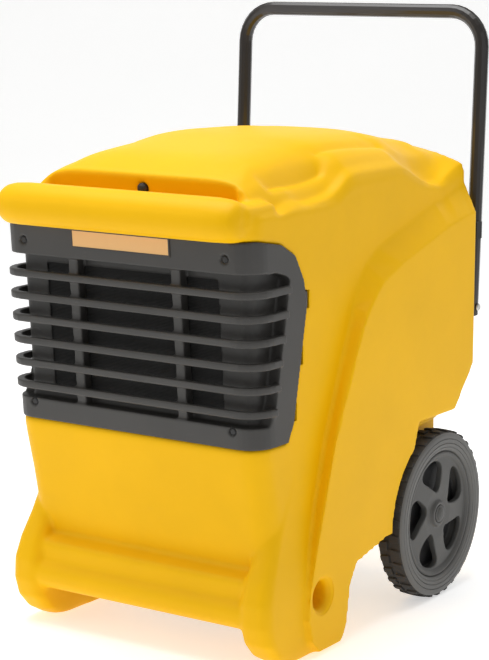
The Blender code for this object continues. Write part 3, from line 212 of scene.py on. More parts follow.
def soften(piece, voxel, rounds):
    """Remeshes a piece evenly and rounds its edges as a mould does."""
    modify(piece, "REMESH", mode="VOXEL", voxel_size=voxel, use_smooth_shade=True)
    drop_specks(piece)
    modify(piece, "SMOOTH", factor=0.5, iterations=rounds)


def thin_to(piece, triangles):
    """Takes triangles out of the flat places until a piece has about so many."""
    now = sum(len(face.vertices) - 2 for face in piece.data.polygons)
    if now > triangles:
        modify(piece, "DECIMATE", ratio=triangles / now)


# ---- materials
def group(name, inputs, outputs):
    """An empty shader node group with named sockets; returns it with its two ends."""
    made = bpy.data.node_groups.new(name, "ShaderNodeTree")
    for label, kind, value in inputs:
        socket = made.interface.new_socket(name=label, in_out="INPUT", socket_type="NodeSocket" + kind)
        if value is not None:
            socket.default_value = value
    for label, kind in outputs:
        made.interface.new_socket(name=label, in_out="OUTPUT", socket_type="NodeSocket" + kind)
    return made, made.nodes.new("NodeGroupInput"), made.nodes.new("NodeGroupOutput")


def node(tree, kind, links=None, **settings):
    """Adds a node, sets its properties and links or fills its inputs."""
    made = tree.nodes.new("ShaderNode" + kind)
    for name, value in settings.items():
        setattr(made, name, value)
    for socket, value in (links or {}).items():
        if isinstance(value, bpy.types.NodeSocket):
            tree.links.new(value, made.inputs[socket])
        else:
            made.inputs[socket].default_value = value
    return made


def maths(tree, operation, first, second=0.0, clamp=False):
    return node(tree, "Math", {0: first, 1: second}, operation=operation, use_clamp=clamp).outputs[0]


def grain_group():
    """Fine moulded grain: a normal, and a value for uneven gloss."""
    made, start, end = group("moulded grain", [("Scale", "Float", 900.0), ("Depth", "Float", 0.15)],
                             [("Normal", "Vector"), ("Value", "Float")])
    place = node(made, "TexCoord").outputs["Object"]
    fine = node(made, "TexNoise", {"Vector": place, "Scale": start.outputs["Scale"], "Detail": 4.0})
    wide = node(made, "TexNoise", {"Vector": place, "Scale": 26.0, "Detail": 3.0})
    height = maths(made, "MULTIPLY_ADD", fine.outputs[0], 0.7)
    mixed = node(made, "Math", {0: wide.outputs[0], 1: 0.6, 2: height}, operation="MULTIPLY_ADD").outputs[0]
    bump = node(made, "Bump", {"Strength": start.outputs["Depth"], "Distance": 0.0006, "Height": mixed})
    made.links.new(bump.outputs[0], end.inputs["Normal"])
    made.links.new(mixed, end.inputs["Value"])
    return made


def tone_group():
    """Slow drift between two tones, a faint cloudiness, and settled dust on what faces up."""
    made, start, end = group("tone", [("First", "Color", None), ("Second", "Color", None), ("Drift",
                                                                                            "Float", 6.0),
                                      ("Dust", "Float", 0.0)], [("Color", "Color"), ("Mask", "Float")])
    place = node(made, "TexCoord").outputs["Object"]
    slow = node(made, "TexNoise", {"Vector": place, "Scale": start.outputs["Drift"], "Detail": 5.0,
                                   "Roughness": 0.6})
    spread = node(made, "MapRange", {"Value": slow.outputs[0], "From Min": 0.35, "From Max": 0.65})
    mix = node(made, "Mix", {"Factor": spread.outputs[0], "A": start.outputs["First"],
                             "B": start.outputs["Second"]},
               data_type="RGBA")
    up = node(made, "SeparateXYZ", {0: node(made, "NewGeometry").outputs["Normal"]}).outputs["Z"]
    specks = node(made, "TexNoise", {"Vector": place, "Scale": 140.0, "Detail": 6.0, "Roughness": 0.7})
    lying = maths(made, "MULTIPLY", maths(made, "MAXIMUM", up, 0.0), specks.outputs[0])
    dust = maths(made, "MULTIPLY", lying, start.outputs["Dust"], clamp=True)
    out = node(made, "Mix", {"Factor": dust}, data_type="RGBA")
    colours = [s for s in out.inputs if s.type == "RGBA"]
    made.links.new([s for s in mix.outputs if s.type == "RGBA"][0], colours[0])
    colours[1].default_value = DUST_TONE
    made.links.new([s for s in out.outputs if s.type == "RGBA"][0], end.inputs["Color"])
    made.links.new(spread.outputs[0], end.inputs["Mask"])
    return made


def scuff_group():
    """Short rubbed scratches as a mask."""
    made, start, end = group("scuffs", [("Amount", "Float", 0.3), ("Scale", "Float", 30.0)],
                             [("Mask", "Float")])
    place = node(made, "TexCoord").outputs["Object"]
    stretch = node(made, "Mapping", {"Vector": place, "Rotation": (0.3, 0.2, 0.7), "Scale": (1.0, 9.0, 3.0)})
    streaks = node(made, "TexNoise", {"Vector": stretch.outputs[0], "Scale": start.outputs["Scale"],
                                      "Detail": 7.0,
                                      "Roughness": 0.75})
    patches = node(made, "TexNoise", {"Vector": place, "Scale": 7.0, "Detail": 2.0})
    thin = node(made, "MapRange", {"Value": streaks.outputs[0], "From Min": 0.60, "From Max": 0.72})
    where = node(made, "MapRange", {"Value": patches.outputs[0], "From Min": 0.50, "From Max": 0.70})
    both = maths(made, "MULTIPLY", thin.outputs[0], where.outputs[0])
    made.links.new(maths(made, "MULTIPLY", both, start.outputs["Amount"]), end.inputs["Mask"])
    return made


def weave_group():
    """A plain weave or a row of fins from crossed waves."""
    made, start, end = group("weave", [("Across", "Float", 400.0), ("Up", "Float", 400.0), ("Depth",
                                                                                            "Float", 0.8)],
                             [("Normal", "Vector"), ("Value", "Float")])
    place = node(made, "SeparateXYZ", {0: node(made, "TexCoord").outputs["Object"]})
    waves = []
    for axis, rate in (("X", "Across"), ("Z", "Up")):
        turns = maths(made, "MULTIPLY", place.outputs[axis], start.outputs[rate])
        waves.append(maths(made, "SINE", maths(made, "MULTIPLY", turns, math.tau)))
    both = maths(made, "ADD", waves[0], waves[1])
    level = maths(made, "MULTIPLY_ADD", both, 0.25)
    level.node.inputs[2].default_value = 0.5
    bump = node(made, "Bump", {"Strength": start.outputs["Depth"], "Distance": 0.0008, "Height": level})
    made.links.new(bump.outputs[0], end.inputs["Normal"])
    made.links.new(level, end.inputs["Value"])
    return made


GROUPS = {}


def placed(tree, kind, **values):
    """Places one of the shared groups in a material with its own values."""
    made = tree.nodes.new("ShaderNodeGroup")
    made.node_tree = GROUPS[kind]
    for name, value in values.items():
        made.inputs[name].default_value = value
    return made


def surface(name, first, second, rough, metal=0.0, grain=(900.0, 0.15), drift=6.0, dust=0.0, scuffs=0.0,
            coat=0.0,
            coat_rough=0.2, weave=None, scuff_tone=(0.6, 0.6, 0.58), spread=0.10, shine=0.5):
    """A finish: two tones, uneven gloss, grain, and where asked a coat, scuffs, dust or a weave with painted
    shade in its low valleys.
    """
    made = bpy.data.materials.new(name)
    made.use_nodes = True
    tree = made.node_tree
    shader = tree.nodes["Principled BSDF"]
    tone = placed(tree, "tone", First=(*first, 1), Second=(*second, 1), Drift=drift, Dust=dust)
    colour = tone.outputs["Color"]
    if scuffs:
        rubbed = placed(tree, "scuffs", Amount=scuffs)
        mix = node(tree, "Mix", {"Factor": rubbed.outputs[0]}, data_type="RGBA")
        sockets = [s for s in mix.inputs if s.type == "RGBA"]
        tree.links.new(colour, sockets[0])
        sockets[1].default_value = (*scuff_tone, 1)
        colour = [s for s in mix.outputs if s.type == "RGBA"][0]
    if weave:
        threads = placed(tree, "weave", Across=weave[0], Up=weave[1], Depth=weave[2])
        # painted shade: the colour is darkened where the weave is low, in the gaps between threads and
        # between fins
        valley_shade = node(tree, "MapRange", {"Value": threads.outputs["Value"], "To Min": 0.35, "To Max": 1.15})
        shade = node(tree, "VectorMath", {0: colour, "Scale": valley_shade.outputs[0]}, operation="SCALE")
        colour = shade.outputs[0]
        normal = threads.outputs["Normal"]
        value = threads.outputs["Value"]
    else:
        texture = placed(tree, "grain", Scale=grain[0], Depth=grain[1])
        normal = texture.outputs["Normal"]
        value = texture.outputs["Value"]
    gloss = node(tree, "MapRange", {"Value": value, "From Min": 0.3, "From Max": 0.9,
                                    "To Min": rough - spread / 2,
                                    "To Max": rough + spread / 2})
    tree.links.new(colour, shader.inputs["Base Color"])
    tree.links.new(gloss.outputs[0], shader.inputs["Roughness"])
    tree.links.new(normal, shader.inputs["Normal"])
    shader.inputs["Metallic"].default_value = metal
    shader.inputs["Specular IOR Level"].default_value = shine
    shader.inputs["Coat Weight"].default_value = coat
    shader.inputs["Coat Roughness"].default_value = coat_rough
    return made


def tinted(colour, factor):
    return tuple(min(1.0, part * factor) for part in colour)


def finish(name):
    """One of the machine's finishes by name, made when first asked for."""
    if name in bpy.data.materials:
        return bpy.data.materials[name]
    look = bpy.context.scene.dehumidifier_look
    body, trim, wheel = tuple(look.body), tuple(look.trim), tuple(look.wheel)
    recipes = {
        "yellow_polyethylene": dict(first=body, second=tinted(body, 0.93), rough=0.40, grain=(620.0, 0.16),
                                    drift=3.5,
                                    dust=0.03, scuffs=0.06, scuff_tone=(0.95, 0.70, 0.25), shine=0.14,
                                    spread=0.14),
        "grille_plastic": dict(first=trim, second=tinted(trim, 0.8), rough=0.42, grain=(1500.0, 0.22),
                               dust=0.10,
                               scuffs=0.10, spread=0.12),
        "filter_mesh": dict(first=(0.030, 0.029, 0.028), second=(0.020, 0.020, 0.020), rough=0.9,
                            weave=(420.0, 420.0, 1.0)),
        "tread_rubber": dict(first=(0.022, 0.021, 0.020), second=(0.032, 0.029, 0.026), rough=0.78,
                             grain=(1100.0, 0.35), dust=0.15, scuffs=0.12, scuff_tone=(0.12, 0.11, 0.10)),
        "wheel_plastic": dict(first=wheel, second=tinted(wheel, 0.86), rough=0.50, grain=(1300.0, 0.2),
                              dust=0.08,
                              scuffs=0.10),
        "rim_plastic": dict(first=tinted(wheel, 0.68), second=tinted(wheel, 0.56), rough=0.46,
                            grain=(1300.0, 0.2),
                            dust=0.06, scuffs=0.10, shine=0.4),
        "handle_enamel": dict(first=(0.014, 0.012, 0.011), second=(0.020, 0.016, 0.013), rough=0.30,
                              grain=(380.0, 0.10), coat=0.35, coat_rough=0.08, scuffs=0.05,
                              scuff_tone=(0.20, 0.18, 0.16), spread=0.08),
        "black_enamel": dict(first=(0.020, 0.020, 0.021), second=(0.030, 0.029, 0.028), rough=0.42,
                             grain=(700.0, 0.14), scuffs=0.10, dust=0.08, coat=0.2),
        "black_plastic": dict(first=(0.028, 0.028, 0.029), second=(0.020, 0.020, 0.020), rough=0.50,
                              grain=(1700.0, 0.28), dust=0.06),
        "grey_plastic": dict(first=(0.16, 0.16, 0.155), second=(0.13, 0.13, 0.125), rough=0.48,
                             grain=(1500.0, 0.2), dust=0.08),
        "soft_rubber": dict(first=(0.030, 0.029, 0.028), second=(0.020, 0.019, 0.018), rough=0.82,
                            grain=(1300.0, 0.35), dust=0.12),
        "plated_steel": dict(first=(0.62, 0.62, 0.60), second=(0.50, 0.50, 0.47), rough=0.30, metal=1.0,
                             grain=(900.0, 0.08), scuffs=0.2, scuff_tone=(0.30, 0.27, 0.22)),
        "zinc_sheet": dict(first=(0.46, 0.47, 0.48), second=(0.36, 0.37, 0.38), rough=0.42, metal=0.95,
                           grain=(120.0, 0.06), drift=24.0, dust=0.1),
        "copper_pipe": dict(first=(0.78, 0.36, 0.20), second=(0.50, 0.22, 0.13), rough=0.32, metal=1.0,
                            grain=(500.0, 0.08), drift=22.0, scuffs=0.2, scuff_tone=(0.30, 0.14, 0.09)),
        "aluminium_fins": dict(first=(0.68, 0.69, 0.70), second=(0.58, 0.59, 0.60), rough=0.35, metal=0.9,
                               weave=(450.0, 40.0, 0.9)),
        "badge_face": dict(first=(0.80, 0.47, 0.17), second=(0.76, 0.43, 0.15), rough=0.35,
                           grain=(2600.0, 0.06),
                           coat=0.3),
        "badge_border": dict(first=(0.030, 0.026, 0.022), second=(0.045, 0.040, 0.035), rough=0.4,
                             grain=(2600.0, 0.08)),
        "display_glass": dict(first=(0.020, 0.030, 0.026), second=(0.030, 0.044, 0.036), rough=0.10,
                              grain=(300.0, 0.02), drift=40.0, coat=0.8, coat_rough=0.03, spread=0.04),
        "red_rocker": dict(first=(0.42, 0.020, 0.014), second=(0.34, 0.014, 0.010), rough=0.28,
                           grain=(1500.0, 0.06), coat=0.4),
        "hose_vinyl": dict(first=(0.32, 0.33, 0.32), second=(0.24, 0.25, 0.24), rough=0.35,
                           grain=(600.0, 0.1),
                           dust=0.08),
    }
    return surface(name, **recipes[name])


def dress(piece, *names):
    """Gives a piece its finishes as material slots."""
    piece.data.materials.clear()
    for name in names:
        piece.data.materials.append(finish(name))


FITTINGS = {
    "grille_plastic": ("rear_cover",),
    "filter_mesh": ("air_filter",),
    "aluminium_fins": ("evaporator_coil", "condenser_coil"),
    "handle_enamel": ("handle_tube",),
    "black_enamel": ("handle_bracket", "compressor", "accumulator", "fan_motor"),
    "black_plastic": ("grille_screw", "handle_plug", "clamp_knob", "control_panel", "power_inlet",
                      "humidistat_knob", "recess_plug",
                      "drain_spigot"),
    "grey_plastic": ("drip_tray", "fan_shroud", "fan_impeller", "control_box", "condensate_pump", "button"),
    "soft_rubber": ("handle_rest", "compressor_grommet"),
    "plated_steel": ("axle", "axle_washer", "pivot_bolt"),
    "zinc_sheet": ("base_plate", "fan_motor_bracket", "axle_saddle"),
    "copper_pipe": ("discharge_pipe", "liquid_pipe", "suction_pipe", "filter_drier"),
    "display_glass": ("display_window",),
    "red_rocker": ("main_switch",),
    "rim_plastic": ("hub_cap",),
    "hose_vinyl": ("drain_hose",),
}


# ---- the moulded body
STATIONS = (  # distance from the front roll, drop of the crown, rise of the shoulder, squareness
    (0.092, 0.054, 0.000, 9), (0.105, 0.041, 0.000, 8), (0.170, 0.021, 0.006, 6), (0.282, 0.008, 0.014, 5),
    (0.338, 0.002, 0.043, 5), (0.402, 0.000, 0.044, 5), (0.518, 0.002, 0.043, 4), (0.576, 0.006, 0.018, 3),
    (0.616, 0.010, 0.006, 3), (0.658, 0.018, 0.012, 3), (0.703, 0.030, 0.032, 3), (0.724, 0.042, 0.036, 3),
)
SHOULDER = 0.732
LID_EDGE = CORE - 0.022
SHARES = (0.2, 0.45, 0.68, 0.84, 0.93, 1.0)


def lid_height(share, distance, soft):
    """Height of the lid at a share of its half width: as the CAD's facets have it, or soft."""
    places, drops, rises, powers = (np.array(column, float) for column in zip(*STATIONS))
    crowns, shoulders = TOP - drops, SHOULDER + rises
    if not soft:
        columns = [np.interp(distance, places,
                             shoulders + (crowns - shoulders) * (1 - s**powers)) for s in SHARES]
        share = np.clip(share, SHARES[0], 1.0)
        height = np.zeros_like(share)
        for i in range(len(SHARES) - 1):
            inside = (share >= SHARES[i]) & (share <= SHARES[i + 1])
            t = (share - SHARES[i]) / (SHARES[i + 1] - SHARES[i])
            height = np.where(inside, columns[i] * (1 - t) + columns[i + 1] * t, height)
        return height
    steps = np.linspace(-2.2, 2.2, 15)
    weights = np.exp(-steps**2 / 2)
    weights /= weights.sum()

    def eased(values, width=0.016):
        return sum(w * np.interp(distance + s * width, places, values) for s, w in zip(steps, weights))

    crown, shoulder, power = eased(crowns, 0.022), eased(shoulders), eased(powers, 0.02)
    return shoulder + (crown - shoulder) * (1 - np.clip(share, 0, 1) ** power)


def ease_lid(piece):
    """Eases the lid's facets."""
    places = points(piece)
    x, y, z = places.T
    across, distance = np.abs(x), y - FRONT
    share = across / LID_EDGE
    amount = ramp(z, 0.655, 0.690) * ramp(distance, 0.084, 0.100) * (1 - ramp(distance, 0.726, 0.732))
    eased = lid_height(share, distance, True) - lid_height(share, distance, False)
    places[:, 2] = z + amount * eased
    put(piece, places)


CREASES = (  # from (across, distance) to (across, distance), width, depth, sharpness; raised where negative
    (0.197, 0.155, 0.198, 0.305, 0.013, 0.014, 1.4),  # scoop beside the crown
    (0.178, 0.330, 0.182, 0.520, 0.010, 0.005, 1.3),  # crease along the crown
    (0.215, 0.600, 0.235, 0.640, 0.020, 0.005, 2.0),  # saddle near the rear
    (0.218, 0.350, 0.218, 0.500, 0.026, -0.008, 2.0),  # hump on the shoulder
    (0.222, 0.130, 0.222, 0.180, 0.022, -0.007, 2.0),  # fill behind the roll's end
)
SADDLE_WALL_RISE = 0.009


def carve_lid(piece):
    """Works the scoops, creases, humps and saddles into the lid."""
    places = points(piece)
    x, y, z = places.T
    across, distance = np.abs(x), y - FRONT
    amount = ramp(z, 0.655, 0.690) * ramp(distance, 0.12, 0.17) * (1 - ramp(distance, 0.726, 0.732))

    def hollow(x0, d0, x1, d1, width, depth, power):
        """A groove between two points, deepest midway across; a low power makes it a crease."""
        run = np.array([x1 - x0, d1 - d0])
        along = np.clip(((across - x0) * run[0] + (distance - d0) * run[1]) / (run @ run), 0, 1)
        gap = np.hypot(across - x0 - along * run[0], distance - d0 - along * run[1])
        return depth * np.exp(-((gap / width) ** power))

    carve = sum(hollow(*crease) for crease in CREASES)
    saddle_wall = ramp(across, 0.10, 0.16) * (1 - ramp(across, 0.190, 0.212))
    carve -= SADDLE_WALL_RISE * saddle_wall * ramp(distance, 0.50, 0.57) * (1 - ramp(distance, 0.66, 0.71))
    places[:, 2] = z - amount * carve
    put(piece, places)


CLIPS = (0.5875, 0.499, 0.411)  # heights of the grille's clips
CLIP_HALF = 0.0150
POCKET_DEEP = 0.0048  # pockets behind the handle's legs
SOCKET_AT = (0.216, 0.100)  # distance from the front roll, height
SOCKET = ((0, -0.02), (0.0330, -0.02), (0.0330, 0.0008), (0.0268, 0.0030), (0.0248, 0.0070), (0.0225, 0.0095),
          (0.0215, 0.0450), (0, 0.0450))
BODY_TRIANGLES = 180000
GRILLE_TRIANGLES = 150000


class DEHUMIDIFIER_OT_body(bpy.types.Operator):
    """Moulds the yellow body with its soft edges, scoops and coves"""

    bl_idname = "dehumidifier.body"
    bl_label = "Moulded body"

    def execute(self, context):
        look = context.scene.dehumidifier_look
        body = merged_copy("housing_shell", "moulded_body")
        modify(body, "REMESH", mode="VOXEL", voxel_size=look.body_voxel, use_smooth_shade=True)
        ease_lid(body)
        sharp = points(body)
        modify(body, "SMOOTH", factor=0.5, iterations=look.body_rounds)
        soft = points(body)
        flank = ramp(np.abs(sharp[:, 0]), 0.236, 0.244) * (1 - ramp(sharp[:, 2], 0.66, 0.72))
        share = (1 - 0.65 * flank)[:, None]
        put(body, sharp * (1 - share) + soft * share)
        carve_lid(body)
        thin_to(body, BODY_TRIANGLES)
        tools = [block("rebate", (-0.2018, REAR - 0.0030, 0.3982), (0.2018, REAR + 0.02, 0.7368))]
        for _, sign in SIDES:
            tools.append(turned("socket", SOCKET, (sign * SHELL_HIGH.x, FRONT + SOCKET_AT[0], SOCKET_AT[1]),
                                (-sign, 0, 0), 48))
            near, far = sorted((sign * 0.2388, sign * 0.2655))
            tools.append(block("leg_pocket", (near, REAR - POCKET_DEEP, 0.481), (far, REAR + 0.02, 0.519)))
            for height in CLIPS:
                back = FRONT + 0.1555 + 0.20 * (height - 0.365)
                low, high = sorted((sign * 0.2350, sign * 0.2600))
                tools.append(block("clip_slot", (low, back - 0.008, height - CLIP_HALF),
                                   (high, back + 0.0095, height + CLIP_HALF), 0.002, 3))
        for tool in tools:
            modify(body, "BOOLEAN", object=tool, operation="DIFFERENCE", solver="MANIFOLD")
            bpy.data.objects.remove(tool)
        smooth_shade(body, 50)
        dress(body, "yellow_polyethylene")
        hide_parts("housing_shell")
        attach(body, "chassis")
        return {"FINISHED"}


# ---- the intake grille
class DEHUMIDIFIER_OT_grille(bpy.types.Operator):
    """Rounds the intake grille's frame, slats and stiles"""

    bl_idname = "dehumidifier.grille"
    bl_label = "Intake grille"

    def execute(self, context):
        look = context.scene.dehumidifier_look
        grille = merged_copy("front_grille", "intake_grille")
        soften(grille, look.grille_voxel, 3)
        thin_to(grille, GRILLE_TRIANGLES)
        smooth_shade(grille, 60)
        dress(grille, "grille_plastic")
        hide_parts("front_grille")
        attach(grille, "chassis")
        return {"FINISHED"}


class DEHUMIDIFIER_OT_badge(bpy.types.Operator):
    """Makes the blank name plate with its raised dark border"""

    bl_idname = "dehumidifier.badge"
    bl_label = "Name plate"

    def execute(self, context):
        badge = merged_copy("badge_plate", "bordered_badge")
        edit(badge)
        bpy.ops.mesh.dissolve_limited(angle_limit=math.radians(2))
        bpy.ops.mesh.select_all(action="DESELECT")
        bpy.ops.object.mode_set(mode="OBJECT")
        front = min(badge.data.polygons, key=lambda face: (face.normal.y > -0.9, -face.area))
        front.select = True
        bpy.ops.object.mode_set(mode="EDIT")
        bpy.ops.mesh.select_mode(type="FACE")
        bpy.ops.mesh.inset(thickness=0.0024, depth=0)
        bpy.ops.mesh.inset(thickness=0.0002, depth=-0.0004)
        bpy.ops.object.mode_set(mode="OBJECT")
        dress(badge, "badge_border", "badge_face")
        for face in badge.data.polygons:
            face.material_index = int(face.select)
        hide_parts("badge_plate")
        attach(badge, "chassis")
        return {"FINISHED"}


# ---- wheels
TREAD_BASE = 0.1460
SIDEWALL_EDGE = 0.1450
RIM_EDGE = 0.112
WEB_EDGE = 0.104
WINDOW_MIDDLE = 0.069
WINDOW_REACH = 0.029
SPOKES = 5


def window(centre, sign, number, half):
    """One rounded comma-shaped opening between two spokes, as a cutter."""
    bpy.ops.mesh.primitive_circle_add(vertices=48, radius=1, fill_type="NGON")
    piece = bpy.context.object
    piece.name = "spoke_window"
    for i, vertex in enumerate(piece.data.vertices):
        up, along = math.cos(math.tau * i / 48), math.sin(math.tau * i / 48)
        out = math.copysign(abs(up) ** 0.8, up)
        wide = math.radians(22 + 7 * out) * math.copysign(abs(along) ** 0.8, along)
        turn = math.tau * number / SPOKES + math.radians(11 + 6 * out) + wide
        radius = WINDOW_MIDDLE + WINDOW_REACH * out
        vertex.co = (-sign * radius * math.cos(turn), -radius * math.sin(turn), half - 0.016)
    modify(piece, "SOLIDIFY", thickness=0.022, offset=0)
    edit(piece)
    tidy(piece)
    spin = Vector((0, 0, 1)).rotation_difference(Vector((sign, 0, 0))).to_matrix().to_4x4()
    piece.data.transform(Matrix.Translation(centre) @ spin)
    return piece


def spoked_rim(side, sign, centre, half, voxel):
    """Ring, web with its openings, hub and back plate of a rim, moulded in one; the back plate's face behind
    the openings gets black plastic as painted shade.
    """
    outward = (sign, 0, 0)
    web = turned(f"spoked_rim_{side}", [(0.0155, half - 0.021), (0.0155, half - 0.0115), (0.045,
                                                                                          half - 0.0095),
                                        (WEB_EDGE, half - 0.0115), (WEB_EDGE, half - 0.021)], centre, outward)
    for number in range(SPOKES):
        cutter = window(centre, sign, number, half)
        modify(web, "BOOLEAN", object=cutter, operation="DIFFERENCE", solver="MANIFOLD")
        bpy.data.objects.remove(cutter)
    ring = turned("rim_ring", [(RIM_EDGE, 0.008 - half), (RIM_EDGE, half - 0.008), (0.1105, half - 0.0058),
                               (0.1060, half - 0.0058), (0.1045, half - 0.0075), (0.1025, half - 0.0080),
                               (0.1000, half - 0.0125), (0.1000, 0.012 - half), (0.104, 0.008 - half)],
                  centre, outward, 96)
    back = turned("back_web", [(0.016, 0.0115 - half), (0.016, 0.0155 - half), (0.103, 0.0155 - half),
                               (0.103, 0.0115 - half)], centre, outward)
    hub = turned("rim_hub", [(0.0086, 0.0005 - half), (0.0086, half - 0.0195), (0.0158, half - 0.0195),
                             (0.0158, half - 0.0055), (0.0215, half - 0.0055), (0.0240, half - 0.0095),
                             (0.0205, 0.006 - half), (0.018, 0.0005 - half)], centre, outward)
    rim = joined(f"spoked_rim_{side}", [web, ring, back, hub])
    soften(rim, voxel, 2)
    smooth_shade(rim, 50)
    # painted shade: the back plate's deep outward face behind the spoke openings takes the black plastic
    # finish to stand in for the shade there
    dress(rim, "rim_plastic", "black_plastic")
    for face in rim.data.polygons:
        away = face.center - centre
        painted_shade_back = away.x * sign < 0.0165 - half and face.normal.x * sign > 0.5
        face.material_index = int(painted_shade_back and math.hypot(away.y, away.z) < WEB_EDGE)
    return rim


def lug(name, turn, centre, sign, row, radius, half):
    """One tread lug: wide near the middle of the tread, narrow where it wraps the shoulder."""
    bpy.ops.mesh.primitive_cube_add(size=1)
    piece = bpy.context.object
    piece.name = name
    low, high = 0.0025, half - 0.0048
    for vertex in piece.data.vertices:
        out, along, across = vertex.co.x > 0, math.copysign(1, vertex.co.y), vertex.co.z > 0
        reach = high if across else low
        length = 0.0052 if across else 0.0086
        top = radius - (0.0012 if across else 0.0002)
        foot = TREAD_BASE - (0.0060 if across else 0.0010)
        vertex.co = (top if out else foot, along * length, reach)
    modify(piece, "BEVEL", width=0.0009, segments=2, limit_method="NONE")
    piece.data.transform(Matrix.Rotation(turn, 4, "Z") @ Matrix.Diagonal((1, 1, row, 1)))
    if row < 0:
        piece.data.flip_normals()
    spin = Vector((0, 0, 1)).rotation_difference(Vector((sign, 0, 0))).to_matrix().to_4x4()
    piece.data.transform(Matrix.Translation(centre) @ spin)
    return piece


class DEHUMIDIFIER_OT_wheels(bpy.types.Operator):
    """Makes the lugged tyres and the five-spoke rims"""

    bl_idname = "dehumidifier.wheels"
    bl_label = "Wheels"

    def execute(self, context):
        look = context.scene.dehumidifier_look
        for side, sign in SIDES:
            low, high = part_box(f"tyre_{side}")
            centre = (low + high) / 2
            radius, half = (high.z - low.z) / 2, (high.x - low.x) / 2
            face = half - 0.0012
            outer = [(0.1123, half - 0.0085), (0.1140, half - 0.0050), (0.1165, half - 0.0030),
                     (0.1190, half - 0.0028), (0.1195, half - 0.0034), (0.1200, half - 0.0022),
                     (0.1255, face),
                     (0.1262, face - 0.0013), (0.1270, face), (0.1335, face), (0.1342, face - 0.0013),
                     (0.1350, face), (0.1395, face - 0.0003), (0.1430, face - 0.0010),
                     (SIDEWALL_EDGE, face - 0.0030)]
            tread = [(TREAD_BASE, half - 0.0070), (TREAD_BASE + 0.0006, 0.004), (TREAD_BASE + 0.0006, -0.004),
                     (TREAD_BASE, -half + 0.0070)]
            inner = [(r, -h) for r, h in reversed(outer)]
            tyre = turned(f"lugged_tyre_{side}", outer + tread + inner, centre, (sign, 0, 0), 96)
            smooth_shade(tyre, 45)
            walls = len(tyre.data.polygons)
            lugs = [lug(f"lug_{side}", math.tau * (i + (0 if row > 0 else 0.5)) / look.lugs, centre, sign,
                        row, radius,
                        half) for row in (1, -1) for i in range(look.lugs)]
            tyre = joined(f"lugged_tyre_{side}", [tyre] + lugs)
            dress(tyre, "wheel_plastic", "tread_rubber")
            for number, face_held in enumerate(tyre.data.polygons):
                away = face_held.center - centre
                across = math.hypot(away.y, away.z)
                face_held.material_index = int(number >= walls or across > SIDEWALL_EDGE - 0.0005)
            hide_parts(f"tyre_{side}")
            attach(tyre, f"wheel_{side}")
            rim = spoked_rim(side, sign, centre, half, look.rim_voxel)
            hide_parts(f"wheel_rim_{side}")
            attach(rim, f"wheel_{side}")
        return {"FINISHED"}


class DEHUMIDIFIER_OT_fittings(bpy.types.Operator):
    """Gives the fittings that keep their shape their finishes"""

    bl_idname = "dehumidifier.fittings"
    bl_label = "Fittings"

    def execute(self, context):
        stems = sorted(((stem, name) for name, stems in FITTINGS.items() for stem in stems),
                       key=lambda p: -len(p[0]))
        for label, held in frame["nodes"].items():
            name = next((name for stem, name in stems if label.startswith(stem)), None)
            if name is None:
                continue
            if not held.data.materials:
                held.data.materials.append(None)
            for slot in held.material_slots:
                slot.material = finish(name)
        return {"FINISHED"}


# ---- the studio
LAMPS = (  # name, place, size, power, colour
    ("overhead", (-0.4, -0.3, 3.0), 2.6, 70, (1, 1, 1)),
    ("front_left", (-2.2, -2.6, 1.9), 2.2, 13, (1, 0.99, 0.97)),
    ("right_fill", (3.2, -0.6, 1.6), 2.4, 6, (1, 1, 1)),
    ("rear", (0.8, 3.2, 2.2), 2.4, 14, (1, 1, 1)),
)
LENS = 112.1
CAMERA_PLACE = (1.96, -2.8975, 1.124)
AZIMUTH, ELEVATION = math.radians(34.10), math.radians(10.36)
FLOOR_GLOW = 0.50
WORLD_LEVEL, WORLD_MIRRORED = 0.38, 0.22


